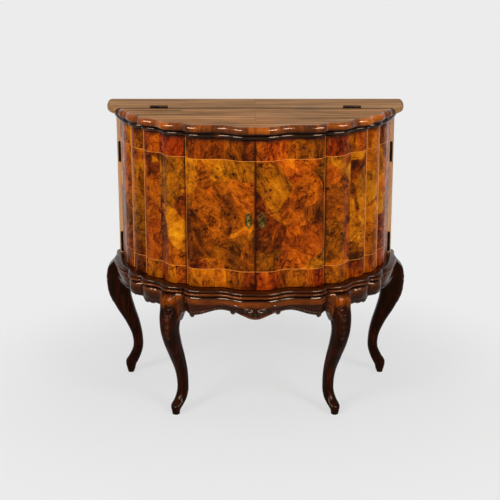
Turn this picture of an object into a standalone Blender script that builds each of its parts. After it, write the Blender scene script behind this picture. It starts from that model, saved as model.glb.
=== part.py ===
"""Half-round bar cabinet with a serpentine front, a lifting lid and two quarter-round doors, on a stand with
four cabriole legs. Metres, +Z up, front towards -Y, origin on the floor under the middle of the cabinet.

Every curved piece follows one plan outline: a half ellipse with swells and creases laid on it. In plan a
point is given by x and by its depth, which is measured forwards from the back of the cabinet.
"""

import math

import bmesh
import bpy
import numpy as np
from mathutils import Matrix, Vector

# Overall heights
STAND_HEIGHT = 0.4315  # floor to the top of the platform
CASE_HEIGHT = 0.4665  # platform to the underside of the ebonised bead
BEAD_HEIGHT = 0.020
LID_THICKNESS = 0.022

# Plan of the doors' outer face
BODY_HALF_WIDTH = 0.447
BODY_DEPTH = 0.400

# Swells and creases of the outline: angle from the front in degrees, offset of the body's rim, offset of the
# top's rim, and whether the outline turns smoothly there or in a sharp crease
SWELL = "swell"
CREASE = "crease"
WAVE = (
    (0.0, 0.004, 0.003, SWELL),
    (4.5, 0.005, 0.005, SWELL),
    (13.0, -0.013, -0.015, SWELL),
    (24.6, 0.0075, 0.0065, SWELL),
    (28.6, -0.009, -0.009, CREASE),
    (35.0, 0.008, 0.010, SWELL),
    (41.0, -0.007, -0.005, SWELL),
    (47.0, 0.003, 0.007, SWELL),
    (50.8, -0.008, -0.007, CREASE),
    (55.5, 0.004, 0.000, SWELL),
    (60.8, -0.008, -0.012, CREASE),
    (64.5, -0.002, -0.006, SWELL),
    (68.0, -0.002, -0.012, CREASE),
    (79.0, -0.004, 0.005, SWELL),
    (85.0, -0.012, 0.004, SWELL),
    (90.0, -0.012, 0.003, SWELL),
)
BODY_INDEX = 1
TOP_INDEX = 2
LEAST_STEPS = 3  # facets from one swell or crease to the next
WIDEST_STEP = 3.4  # degrees

# Fits
CLEARANCE = 0.0003  # between pieces that touch
DOOR_REVEAL = 0.0015  # above and below a door
MEETING_GAP = 0.002  # between the two doors
DOOR_STOP_GAP = 0.0006  # between a shut door and the bottom board it stops on

# Boards
DOOR_THICKNESS = 0.020
BOTTOM_THICKNESS = 0.018
BACK_THICKNESS = 0.012
BACK_INSET = 0.006
POST_WIDTH = 0.045
POST_DEPTH = 0.034
POST_INSET = 0.001  # a post's outer face inside the body's full width
PARTITION_THICKNESS = 0.016
PARTITION_SPACING = 0.340  # between the middles of the two partitions
PARTITION_FRONT = 0.300  # depth of their front edges
WELL_RIM = 0.060  # width of the top frame round the opening under the lid
WELL_BACK = 0.172  # depth at which that opening starts
MIRROR_THICKNESS = 0.004
SHELF_THICKNESS = 0.008
SHELF_HEIGHT = 0.215  # bottom board to the underside of the shelf
SHELF_FRONT = 0.270
BATTEN_SIDE = 0.014

# Top
LID_OVERHANG = 0.024
LID_EDGE = ((-0.006, 0.0), (-0.001, 0.004), (0.0, 0.010), (-0.002, 0.016), (-0.007, 0.0205), (-0.011, 0.022))
LID_HINGE_DEPTH = 0.149

# Ebonised bead: out from the doors' face and up from its underside
BEAD_INNER = -0.006
BEAD_PROFILE = ((0.003, 0.0), (0.009, 0.003), (0.012, 0.008), (0.010, 0.013), (0.007, 0.016), (0.009, 0.020))

# Base moulding: torus over a cove and a lower lip
BASE_INNER = -0.008
BASE_HEIGHT = 0.0215
BASE_PROUD = 0.027
BASE_PROFILE = (
    (-0.013, 0.0),
    (-0.008, 0.0015),
    (-0.008, 0.0050),
    (-0.011, 0.0070),
    (-0.004, 0.0090),
    (0.000, 0.0130),
    (-0.003, 0.0180),
    (-0.009, 0.0210),
    (-0.014, 0.0215),
)

# Aprons: swelling face, and how far the lower edge hangs below the base moulding at angles from the front.
# The front one runs down beside its legs as brackets
APRON_FACE = 0.006
APRON_SWELL = 0.015
APRON_BULGE = 0.66  # below 1 the swell sits above the middle
APRON_THICKNESS = 0.022
APRON_ROWS = 7
APRON_DROP = (
    (0.0, 0.0680),
    (8.5, 0.0470),
    (13.0, 0.0455),
    (24.6, 0.0660),
    (27.8, 0.0600),
    (29.5, 0.0665),
    (32.0, 0.1160),
    (35.0, 0.1180),
    (36.5, 0.0540),
    (40.0, 0.0540),
    (49.0, 0.0560),
    (51.5, 0.0500),
    (60.0, 0.0490),
    (75.0, 0.0500),
    (90.0, 0.0560),
)
RAIL_THICKNESS = 0.020
RAIL_DROP = 0.066
RAIL_STATIONS = 4  # of a rear leg's upper stations, beside the rail

# Cabriole legs: share of the height, how far the middle stands out from the plan ellipse, half size outwards,
# half size across, and how square the section is
LEG_ANGLE = 35.0  # of the front legs, from the front
REAR_LEG_DEPTH = 0.031  # middle of the rear legs
FRONT_LEG_STATIONS = (
    (0.000, -0.0124, 0.0110, 0.0108, 2.4),
    (0.030, -0.0121, 0.0138, 0.0128, 2.3),
    (0.065, -0.0185, 0.0202, 0.0175, 2.2),
    (0.100, -0.0355, 0.0187, 0.0176, 2.2),
    (0.150, -0.0475, 0.0174, 0.0170, 2.2),
    (0.220, -0.0496, 0.0172, 0.0167, 2.3),
    (0.320, -0.0427, 0.0187, 0.0185, 2.4),
    (0.450, -0.0216, 0.0238, 0.0218, 2.5),
    (0.580, 0.0020, 0.0285, 0.0232, 2.6),
    (0.700, 0.0155, 0.0330, 0.0242, 2.8),
    (0.800, 0.0108, 0.0377, 0.0281, 3.2),
    (0.870, 0.0040, 0.0385, 0.0295, 4.0),
    (0.940, 0.0020, 0.0370, 0.0305, 6.0),
    (1.000, -0.0120, 0.0300, 0.0305, 6.0),
)
REAR_LEG_STATIONS = (
    (0.000, -0.0235, 0.0095, 0.0110, 2.4),
    (0.030, -0.0265, 0.0100, 0.0125, 2.3),
    (0.065, -0.0253, 0.0164, 0.0150, 2.2),
    (0.100, -0.0291, 0.0206, 0.0154, 2.2),
    (0.150, -0.0395, 0.0193, 0.0155, 2.2),
    (0.220, -0.0500, 0.0170, 0.0165, 2.3),
    (0.320, -0.0503, 0.0171, 0.0190, 2.4),
    (0.450, -0.0361, 0.0226, 0.0220, 2.5),
    (0.580, -0.0133, 0.0302, 0.0245, 2.6),
    (0.700, 0.0029, 0.0355, 0.0265, 2.8),
    (0.800, 0.0062, 0.0386, 0.0288, 3.2),
    (0.870, 0.0050, 0.0390, 0.0299, 4.0),
    (0.940, 0.0020, 0.0370, 0.0305, 6.0),
    (1.000, -0.0120, 0.0300, 0.0305, 6.0),
)
FRONT_LEG_SWEEP = 0.0300  # how far the foot stands forward of the leg's top
REAR_LEG_SWEEP = -0.0155
LEG_SWEEP_BEND = 1.4
LEG_SPLITS = 2  # rings in each gap between stations
LEG_SIDES = 14

# Butt hinges
HINGE_RADIUS = 0.0045
PIN_RADIUS = 0.0020
PIN_CLEARANCE = 0.0001
LEAF_THICKNESS = 0.0015
LEAF_WIDTH = 0.0200
LEAF_GAP = 0.0005
KNUCKLES = 3
ROUND_SIDES = 12
DOOR_HINGE_LENGTH = 0.066
DOOR_HINGE_HEIGHTS = {"lower": 0.038, "upper": 0.342}  # middle of a hinge above the door's lower edge
LID_HINGE_LENGTH = 0.056
LID_HINGE_REACH = 0.300  # middle of the lid to the middle of a hinge

# Door furniture
KEYHOLE_HEIGHT = 0.222  # above the platform
KEYHOLE_RADIUS = 0.0032
PLATE_REACH = 0.0200  # middle of the cabinet to the middle of a plate
PLATE_HALF_WIDTH = 0.0125
PLATE_HALF_HEIGHT = 0.0260
PLATE_THICKNESS = 0.0022
PLATE_LOBES = 6
PLATE_SCALLOP = 0.16
PIERCING_RADIUS = 0.0030
PIERCING_RISE = 0.0135  # from the plate's middle
LOCK_EDGE = 0.0045  # middle of the cabinet to the lock case and to the keeper
LOCK_WIDTH = 0.046
LOCK_HEIGHT = 0.044
LOCK_DEPTH = 0.013
KEEPER_WIDTH = 0.022
BOLT_SETBACK = 0.0025  # bolt in front of the lock's back
BOLT_LENGTH = 0.024
BOLT_HEIGHT = 0.010
BOLT_THICKNESS = 0.004

# Levels and places that follow from the sizes above
BASE_BOTTOM = STAND_HEIGHT - BASE_HEIGHT
CASE_TOP = STAND_HEIGHT + CASE_HEIGHT
FRAME_TOP = CASE_TOP + BEAD_HEIGHT
LID_TOP = FRAME_TOP + LID_THICKNESS
BOTTOM_TOP = STAND_HEIGHT + CLEARANCE + BOTTOM_THICKNESS
DOOR_BOTTOM = STAND_HEIGHT + DOOR_REVEAL
DOOR_TOP = CASE_TOP - DOOR_REVEAL
BACK_FRONT = BACK_INSET + BACK_THICKNESS
POST_REACH = BODY_HALF_WIDTH - POST_INSET
POST_INNER = POST_REACH - POST_WIDTH
JOINT_GAP = 2 * LEAF_THICKNESS + LEAF_GAP + 2 * CLEARANCE  # holds both leaves of a hinge
DOOR_END = POST_DEPTH + JOINT_GAP
DOOR_AXIS_DEPTH = POST_DEPTH + CLEARANCE + HINGE_RADIUS
STRIP_FRONT = LID_HINGE_DEPTH - HINGE_RADIUS - CLEARANCE
LID_BACK = STRIP_FRONT + JOINT_GAP
LID_AXIS_HEIGHT = LID_TOP + HINGE_RADIUS + CLEARANCE
BACK_Y = (BODY_DEPTH + WAVE[0][BODY_INDEX] + BASE_PROUD) / 2

PARTS = "half_round_bar_cabinet"
CUTTERS = "cutters"


def wave(angles, rim):
    """Offset of the outline from its ellipse: half a cosine between swells, a quarter of one at a crease."""
    offsets = np.zeros_like(angles)
    for start, stop in zip(WAVE, WAVE[1:]):
        inside = (angles >= start[0]) & (angles <= stop[0])
        share = (angles[inside] - start[0]) / (stop[0] - start[0])
        if start[3] == CREASE:
            blend = np.sin(share * math.pi / 2)
        elif stop[3] == CREASE:
            blend = 1 - np.cos(share * math.pi / 2)
        else:
            blend = (1 - np.cos(share * math.pi)) / 2
        offsets[inside] = start[rim] + (stop[rim] - start[rim]) * blend
    return offsets


def outline(angles, out, rim=BODY_INDEX):
    """Plan points (x, depth) at angles from the front, negative to the left, set out from the ellipse."""
    angles = np.asarray(angles, float)
    turn = np.radians(np.abs(angles))
    normal = np.stack([np.sin(turn) / BODY_HALF_WIDTH, np.cos(turn) / BODY_DEPTH])
    normal /= np.linalg.norm(normal, axis=0)
    reach = wave(np.abs(angles), rim) + out
    x = BODY_HALF_WIDTH * np.sin(turn) + reach * normal[0]
    depth = BODY_DEPTH * np.cos(turn) + reach * normal[1]
    return np.stack([np.where(angles < 0, -x, x), depth], axis=1)


def angle_at_depth(depth, out, rim=BODY_INDEX):
    """The angle on the side of the cabinet at which the outline has this depth."""
    angles = np.linspace(45, 90, 901)
    depths = outline(angles, out, rim)[:, 1]
    return float(np.interp(depth, depths[::-1], angles[::-1]))


def plan_angles(start, stop, spare=1.5):
    """The outline's own angles between two given ones, without those too near an end, and the two ends."""
    own = []
    for low, high in zip(WAVE, WAVE[1:]):
        steps = max(LEAST_STEPS, math.ceil((high[0] - low[0]) / WIDEST_STEP))
        own += np.linspace(low[0], high[0], steps, endpoint=False).tolist()
    inner = [angle for angle in own if start + spare < angle < stop - spare]
    return [start, *inner, stop]


def front_angles(limit):
    """Angles right round the front, from -limit to limit."""
    right = plan_angles(0, limit)
    return [-angle for angle in right[:0:-1]] + right


def place(x, depth, z):
    return Vector((x, BACK_Y - depth, z))


def on_plan(points, z):
    """Plan points at one height, as world points."""
    points = np.asarray(points)
    return np.column_stack([points[:, 0], BACK_Y - points[:, 1], np.full(len(points), z)])


def finish_of(name, colour, roughness, metallic=0.0):
    material = bpy.data.materials.new(name)
    material.use_nodes = True
    shader = material.node_tree.nodes["Principled BSDF"]
    shader.inputs["Base Color"].default_value = (*colour, 1.0)
    shader.inputs["Roughness"].default_value = roughness
    shader.inputs["Metallic"].default_value = metallic
    return material


def clear_scene():
    for thing in list(bpy.data.objects):
        bpy.data.objects.remove(thing)
    for name in (PARTS, CUTTERS):
        bpy.context.scene.collection.children.link(bpy.data.collections.new(name))


def add(name, mesh, finish, matrix=None, collection=PARTS):
    thing = bpy.data.objects.new(name, mesh)
    if finish is not None:
        mesh.materials.append(finish)
    bpy.data.collections[collection].objects.link(thing)
    if matrix is not None:
        thing.matrix_world = matrix
    return thing


def mesh_from(name, form, smooth=True):
    """Ends a bmesh as a mesh with its faces pointing out, shaded smooth up to a sharp edge."""
    bmesh.ops.recalc_face_normals(form, faces=form.faces)
    mesh = bpy.data.meshes.new(name)
    form.to_mesh(mesh)
    form.free()
    if smooth:
        mesh.shade_smooth()
        mesh.set_sharp_from_angle(angle=math.radians(35))
    return mesh


def box(name, low, high, finish, collection=PARTS):
    """A block between two corners, each given as x, depth and height."""
    first, second = place(*low), place(*high)
    size = second - first
    form = bmesh.new()
    shape = Matrix.Diagonal((abs(size.x), abs(size.y), abs(size.z), 1.0))
    bmesh.ops.create_cube(form, size=1.0, matrix=shape)
    middle = Matrix.Translation((first + second) / 2)
    return add(name, mesh_from(name, form, smooth=False), finish, middle, collection)


def rods(name, spans, radius, finish, matrix, collection=PARTS):
    """Round rods along the local Z axis, one for each (low, high) span."""
    form = bmesh.new()
    for low, high in spans:
        bmesh.ops.create_cone(
            form,
            cap_ends=True,
            segments=ROUND_SIDES,
            radius1=radius,
            radius2=radius,
            depth=high - low,
            matrix=Matrix.Translation((0, 0, (low + high) / 2)),
        )
    return add(name, mesh_from(name, form), finish, matrix, collection)


def flat(name, loops, thickness, matrix, finish):
    """A board or plate cut to closed outlines in its own XY plane; a loop inside another is a hole."""
    curve = bpy.data.curves.new(name, "CURVE")
    curve.dimensions = "2D"
    curve.fill_mode = "BOTH"
    curve.extrude = thickness / 2
    for loop in loops:
        spline = curve.splines.new("POLY")
        spline.points.add(len(loop) - 1)
        for point, (x, y) in zip(spline.points, loop):
            point.co = (x, y, 0, 1)
        spline.use_cyclic_u = True
    guide = bpy.data.objects.new(name + "_outline", curve)
    bpy.context.scene.collection.objects.link(guide)
    graph = bpy.context.evaluated_depsgraph_get()
    form = bmesh.new()
    form.from_mesh(bpy.data.meshes.new_from_object(guide.evaluated_get(graph)))
    bpy.data.objects.remove(guide)
    bmesh.ops.remove_doubles(form, verts=form.verts, dist=1e-6)
    return add(name, mesh_from(name, form), finish, matrix)


def board(name, loops, low, high, finish):
    """A level board between two heights, from loops of plan points."""
    turned = [[(x, -depth) for x, depth in loop] for loop in loops]
    middle = Matrix.Translation((0, BACK_Y, (low + high) / 2))
    return flat(name, turned, high - low, middle, finish)


def loft(name, sections, finish, cuts=()):
    """A skin over closed sections of as many points each, capped at both ends and trimmed by planes.

    A plane is a point and a direction, and what lies beyond it is taken away.
    """
    form = bmesh.new()
    rings = [[form.verts.new(point) for point in section] for section in sections]
    count = len(rings[0])
    for ring, following in zip(rings, rings[1:]):
        for i in range(count):
            j = (i + 1) % count
            form.faces.new((ring[i], ring[j], following[j], following[i]))
    form.faces.new(rings[0])
    form.faces.new(rings[-1])
    for point, direction in cuts:
        whole = form.verts[:] + form.edges[:] + form.faces[:]
        cut = bmesh.ops.bisect_plane(form, geom=whole, plane_co=point, plane_no=direction, clear_outer=True)
        edge = [piece for piece in cut["geom_cut"] if isinstance(piece, bmesh.types.BMEdge)]
        bmesh.ops.contextual_create(form, geom=edge)
    return add(name, mesh_from(name, form), finish)


def boolean(thing, other, operation):
    modifier = thing.modifiers.new(operation.lower(), "BOOLEAN")
    modifier.operation = operation
    modifier.solver = "EXACT"
    modifier.object = other
    other.hide_render = True
    other.display_type = "WIRE"


def axis_empty(name, position, pieces):
    """An empty on a joint's axis, which carries the pieces that move about it."""
    empty = bpy.data.objects.new(name, None)
    empty.location = position
    bpy.data.collections[PARTS].objects.link(empty)
    bpy.context.view_layer.update()
    for piece in pieces:
        piece.parent = empty
        piece.matrix_parent_inverse = empty.matrix_world.inverted()
    print(name, [round(value, 5) for value in position])
    return empty


def swept(name, profile, finish, rim=BODY_INDEX, end_depth=0.0):
    """A moulding of one closed profile (out, height) along the outline, its ends cut square at one depth."""
    ends = [angle_at_depth(end_depth, out, rim) for out, z in profile]
    middle = front_angles(min(ends))[1:-1]
    rows = [[-end for end in ends], *([angle] * len(profile) for angle in middle), ends]
    sections = []
    for row in rows:
        points = [on_plan(outline([angle], out, rim), z)[0] for angle, (out, z) in zip(row, profile)]
        sections.append(points)
    return loft(name, sections, finish)


def notched_loop(out):
    """A board's outline inside the doors, cut round the rear posts and along the front of the back panel."""
    inner = POST_INNER - CLEARANCE
    back = BACK_FRONT + CLEARANCE
    front = POST_DEPTH + CLEARANCE
    arc = outline(front_angles(angle_at_depth(front, out)), out).tolist()
    return [(-inner, back), (-inner, front), *arc, (inner, front), (inner, back)]


def eased(knots, angle):
    """A value between knots (angle, value), joined by half cosines."""
    for (low, first), (high, second) in zip(knots, knots[1:]):
        if angle <= high:
            share = (angle - low) / (high - low)
            return first + (second - first) * (1 - math.cos(math.pi * share)) / 2
    return knots[-1][1]


def apron_angles(start, stop):
    """The outline's angles between two given ones, with those where the lower edge turns."""
    turns = [angle for angle, drop in APRON_DROP if start < angle < stop]
    return sorted({*plan_angles(start, stop), *turns})


def apron_section(angle):
    """The swelling face of an apron from its top down to the shaped lower edge, and its flat inner face."""
    top = BASE_BOTTOM - CLEARANCE
    low = BASE_BOTTOM - eased(APRON_DROP, abs(angle))
    shares = [i / (APRON_ROWS - 1) for i in range(APRON_ROWS)]
    swells = [APRON_FACE + APRON_SWELL * math.sin(math.pi * share**APRON_BULGE) for share in shares]
    face = [(swell, top + (low - top) * share) for swell, share in zip(swells, shares)]
    inner = APRON_FACE - APRON_THICKNESS
    return [on_plan(outline([angle], out), z)[0] for out, z in [*face, (inner, low), (inner, top)]]


def leg_frame(angle):
    """Foot of the leg's plane on the ellipse, the direction outwards, and the direction across."""
    turn = math.radians(abs(angle))
    side = -1 if angle < 0 else 1
    normal = Vector((side * math.sin(turn) / BODY_HALF_WIDTH, -math.cos(turn) / BODY_DEPTH, 0)).normalized()
    depth = REAR_LEG_DEPTH if abs(angle) == 90 else BODY_DEPTH * math.cos(turn)
    foot = place(side * BODY_HALF_WIDTH * math.sin(turn), depth, 0)
    return foot, normal, Vector((0, 0, 1)).cross(normal)


def leg_values(stations, share):
    """Offset, half sizes and squareness of a leg at a share of its height, between its stations."""
    stations = np.array(stations)
    heights = stations[:, 0]
    i = min(int(np.searchsorted(heights, share, side="right")) - 1, len(heights) - 2)
    slopes = np.gradient(stations[:, 1:], heights, axis=0)
    step = heights[i + 1] - heights[i]
    t = (share - heights[i]) / step
    first, second = stations[i, 1:], stations[i + 1, 1:]
    start = (1 + 2 * t) * (1 - t) ** 2 * first + t * (1 - t) ** 2 * step * slopes[i]
    stop = t * t * (3 - 2 * t) * second + t * t * (t - 1) * step * slopes[i + 1]
    return start + stop


def leg(name, angle, finish):
    """A cabriole leg: rounded sections along an S in the plane that looks square out of the cabinet."""
    foot, outwards, across = leg_frame(angle)
    rear = abs(angle) == 90
    stations = REAR_LEG_STATIONS if rear else FRONT_LEG_STATIONS
    sweep = place(0, REAR_LEG_SWEEP if rear else FRONT_LEG_SWEEP, 0) - place(0, 0, 0)
    height = BASE_BOTTOM - CLEARANCE
    heights = [station[0] for station in stations]
    places = np.arange(LEG_SPLITS * (len(heights) - 1) + 1) / LEG_SPLITS
    rings = np.interp(places, range(len(heights)), heights)
    sections = []
    for share in rings.tolist():
        offset, depth, width, square = leg_values(stations, share)
        middle = foot + sweep * (1 - share) ** LEG_SWEEP_BEND
        section = []
        for side in range(LEG_SIDES):
            turn = 2 * math.pi * side / LEG_SIDES
            cosine, sine = math.cos(turn), math.sin(turn)
            out = offset + depth * math.copysign(abs(cosine) ** (2 / square), cosine)
            over = width * math.copysign(abs(sine) ** (2 / square), sine)
            section.append(middle + outwards * out + across * over + Vector((0, 0, share * height)))
        sections.append(section)
    return loft(name, sections, finish)


def leg_cheek(angle, side):
    """The plane that an apron butts on: just clear of the leg's flat cheek, on one side of the leg."""
    foot, outwards, across = leg_frame(angle)
    half = max(station[3] for station in (*FRONT_LEG_STATIONS, *REAR_LEG_STATIONS)) + CLEARANCE
    return foot + across * side * half, -across * side


def stand(wood, dark):
    """Platform, base moulding, aprons, rear rail and legs."""
    rim = BASE_INNER - CLEARANCE
    platform = outline(front_angles(90), rim).tolist()
    board("platform_board", [platform], BASE_BOTTOM, STAND_HEIGHT, wood)
    edge = [(BASE_PROUD + out, BASE_BOTTOM + z) for out, z in BASE_PROFILE]
    swept("base_moulding", [(BASE_INNER, BASE_BOTTOM), *edge, (BASE_INNER, STAND_HEIGHT)], wood)

    for side, word in ((-1, "left"), (1, "right")):
        leg(f"front_leg_{word}", side * LEG_ANGLE, dark)
        leg(f"rear_leg_{word}", side * 90, dark)

    right = apron_angles(0, LEG_ANGLE)
    front = [apron_section(angle) for angle in [-angle for angle in right[:0:-1]] + right]
    loft("front_apron", front, wood, [leg_cheek(-LEG_ANGLE, 1), leg_cheek(LEG_ANGLE, -1)])
    for side, word in ((-1, "left"), (1, "right")):
        sections = [apron_section(side * angle) for angle in apron_angles(LEG_ANGLE, 90)]
        cuts = [leg_cheek(side * LEG_ANGLE, side), leg_cheek(side * 90, -side)]
        loft(f"side_apron_{word}", sections, wood, cuts)

    inmost = max(half - offset for share, offset, half, across, square in REAR_LEG_STATIONS[-RAIL_STATIONS:])
    reach = BODY_HALF_WIDTH - inmost - CLEARANCE
    low = (-reach, BACK_INSET, BASE_BOTTOM - RAIL_DROP)
    box("rear_rail", low, (reach, BACK_INSET + RAIL_THICKNESS, BASE_BOTTOM - CLEARANCE), wood)


def case(wood, pale, ebony, glass, silver):
    """Boards of the case behind the doors, its top frame with the ebonised bead, mirror and shelf."""
    stop = -DOOR_THICKNESS - DOOR_STOP_GAP
    board("bottom_board", [notched_loop(stop)], STAND_HEIGHT + CLEARANCE, BOTTOM_TOP, pale)

    rim = BEAD_INNER - CLEARANCE
    well = outline(front_angles(angle_at_depth(WELL_BACK, rim - WELL_RIM)), rim - WELL_RIM).tolist()
    board("top_frame", [notched_loop(rim), well], CASE_TOP + CLEARANCE, FRAME_TOP, wood)
    underside = CASE_TOP + CLEARANCE
    scale = (FRAME_TOP - underside) / BEAD_PROFILE[-1][1]
    face = [(out, underside + z * scale) for out, z in BEAD_PROFILE]
    bead = [(BEAD_INNER, underside), *face, (BEAD_INNER, FRAME_TOP)]
    swept("bead_moulding", bead, ebony, end_depth=POST_DEPTH + CLEARANCE)

    for side, word in ((-1, "left"), (1, "right")):
        low = (side * POST_INNER, 0, STAND_HEIGHT + CLEARANCE)
        box(f"rear_post_{word}", low, (side * POST_REACH, POST_DEPTH, FRAME_TOP), pale)
    inner = POST_INNER - CLEARANCE
    box("back_panel", (-inner, BACK_INSET, STAND_HEIGHT + CLEARANCE), (inner, BACK_FRONT, FRAME_TOP), pale)

    low, high = BOTTOM_TOP + CLEARANCE, CASE_TOP
    back = BACK_FRONT + CLEARANCE
    half = PARTITION_SPACING / 2
    bay = half - PARTITION_THICKNESS / 2 - CLEARANCE  # middle of the cabinet to a partition
    mirror_front = back + MIRROR_THICKNESS
    shelf_low = BOTTOM_TOP + SHELF_HEIGHT
    box("mirror", (-bay, back, low), (bay, mirror_front, high), silver)
    box(
        "glass_shelf",
        (-bay, mirror_front + CLEARANCE, shelf_low),
        (bay, SHELF_FRONT, shelf_low + SHELF_THICKNESS),
        glass,
    )
    for side, word in ((-1, "left"), (1, "right")):
        inside = side * (half - PARTITION_THICKNESS / 2)
        outside = side * (half + PARTITION_THICKNESS / 2)
        box(f"partition_{word}", (inside, back, low), (outside, PARTITION_FRONT, high), pale)
        inside -= side * CLEARANCE
        batten = inside - side * BATTEN_SIDE
        top = shelf_low - CLEARANCE
        low_corner = (inside, mirror_front + CLEARANCE, top - BATTEN_SIDE)
        box(f"shelf_batten_{word}", low_corner, (batten, SHELF_FRONT, top), pale)


def top(wood):
    """The lid, and the fixed strip behind it that carries its hinges. Both have the same moulded edge."""
    underside = FRAME_TOP + CLEARANCE
    scale = (LID_TOP - underside) / LID_EDGE[-1][1]
    edge = [(LID_OVERHANG + out, underside + z * scale) for out, z in LID_EDGE]
    ends = [angle_at_depth(LID_BACK, out, TOP_INDEX) for out, z in edge]
    front = front_angles(min(ends))[1:-1]
    side = plan_angles(max(ends), 90)[1:]
    lid, strip = [], []
    for (out, z), end in zip(edge, ends):
        lid.append(on_plan(outline([-end, *front, end], out, TOP_INDEX), z))
        right = outline([angle_at_depth(STRIP_FRONT, out, TOP_INDEX), *side], out, TOP_INDEX)
        strip.append(on_plan(np.concatenate([right, right[::-1] * (-1, 1)]), z))
    loft("top_strip", strip, wood)
    return loft("lid", lid, wood)


def door_line(out):
    """Plan points of the right door's outer face, or of that face set in, from meeting edge to rear end."""
    meeting = math.degrees(math.asin(MEETING_GAP / 2 / BODY_HALF_WIDTH))
    ends = [angle_at_depth(DOOR_END, level) for level in (0.0, -DOOR_THICKNESS)]
    angles = plan_angles(meeting, min(ends))
    return outline([*angles[:-1], angle_at_depth(DOOR_END, out)], out)


def door(side, wood):
    """A quarter of the front: the outline from the meeting edge to the rear post, and the same set in."""
    word = "right" if side > 0 else "left"
    loop = np.concatenate([door_line(0.0), door_line(-DOOR_THICKNESS)[::-1]]) * (side, 1)
    return board(f"door_{word}", [loop.tolist()], DOOR_BOTTOM, DOOR_TOP, wood)


def face_matrix(side, x, out, z):
    """A frame standing off the facet of a door's face at x: X along the face, Y up, Z straight out of it."""
    line = door_line(0.0)
    i = int(np.searchsorted(line[:, 0], x))
    share = (x - line[i - 1, 0]) / (line[i, 0] - line[i - 1, 0])
    near, far = (place(side * point[0], point[1], z) for point in line[i - 1 : i + 1])
    along = (far - near).normalized() * side
    up = Vector((0, 0, 1))
    normal = along.cross(up)
    frame = Matrix((along, up, normal)).transposed().to_4x4()
    return Matrix.Translation(near.lerp(far, share) + normal * out) @ frame


def ring(x, y, radius, sides=10):
    turns = [2 * math.pi * i / sides for i in range(sides)]
    return [(x + radius * math.cos(turn), y + radius * math.sin(turn)) for turn in turns]


def plate(side, brass):
    """A scalloped, pierced escutcheon on the door's face beside the meeting edge."""
    word = "right" if side > 0 else "left"
    rim = []
    for i in range(8 * PLATE_LOBES):
        turn = 2 * math.pi * i / (8 * PLATE_LOBES)
        swell = 1 - PLATE_SCALLOP * abs(math.sin(PLATE_LOBES * turn / 2 + math.pi / 2))
        rim.append((PLATE_HALF_WIDTH * swell * math.cos(turn), PLATE_HALF_HEIGHT * swell * math.sin(turn)))
    holes = [ring(0, rise, PIERCING_RADIUS) for rise in (-PIERCING_RISE, PIERCING_RISE)]
    holes.append(ring(0, 0, KEYHOLE_RADIUS))
    out = CLEARANCE + PLATE_THICKNESS / 2
    matrix = face_matrix(side, PLATE_REACH, out, STAND_HEIGHT + KEYHOLE_HEIGHT)
    return flat(f"escutcheon_{word}", [rim, *holes], PLATE_THICKNESS, matrix, brass)


def lock(right_door, brass):
    """Lock case and bolt behind the right door, keeper behind the left one. The bolt starts drawn back."""
    inner = door_line(-DOOR_THICKNESS)
    middle = STAND_HEIGHT + KEYHOLE_HEIGHT
    low, high = middle - LOCK_HEIGHT / 2, middle + LOCK_HEIGHT / 2

    def seated(name, side, reach):
        bends = [x for x in inner[:, 0] if LOCK_EDGE < x < reach]
        face = [(x, np.interp(x, *inner.T) - CLEARANCE) for x in (LOCK_EDGE, *bends, reach)]
        back = min(depth for x, depth in face) - LOCK_DEPTH
        loop = [(side * x, depth) for x, depth in (*face, (reach, back), (LOCK_EDGE, back))]
        return board(name, [loop], low, high, brass), back

    lock_case, back = seated("lock_case", 1, LOCK_EDGE + LOCK_WIDTH)
    keeper, keeper_back = seated("lock_keeper", -1, LOCK_EDGE + KEEPER_WIDTH)
    depth = max(back, keeper_back) + BOLT_SETBACK
    start = LOCK_EDGE + CLEARANCE
    bolt = box(
        "lock_bolt",
        (start, depth, middle - BOLT_HEIGHT / 2),
        (start + BOLT_LENGTH, depth + BOLT_THICKNESS, middle + BOLT_HEIGHT / 2),
        brass,
    )
    reach = start + BOLT_LENGTH + CLEARANCE
    channel = box(
        "bolt_channel",
        (-reach, depth - CLEARANCE, middle - BOLT_HEIGHT / 2 - CLEARANCE),
        (reach, depth + BOLT_THICKNESS + CLEARANCE, middle + BOLT_HEIGHT / 2 + CLEARANCE),
        None,
        CUTTERS,
    )
    boolean(lock_case, channel, "DIFFERENCE")
    boolean(keeper, channel, "DIFFERENCE")
    through = [(-2 * DOOR_THICKNESS, DOOR_THICKNESS)]
    face = face_matrix(1, PLATE_REACH, 0.0, middle)
    boolean(right_door, rods("keyhole", through, KEYHOLE_RADIUS, None, face, CUTTERS), "DIFFERENCE")
    return lock_case, keeper, bolt


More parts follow.
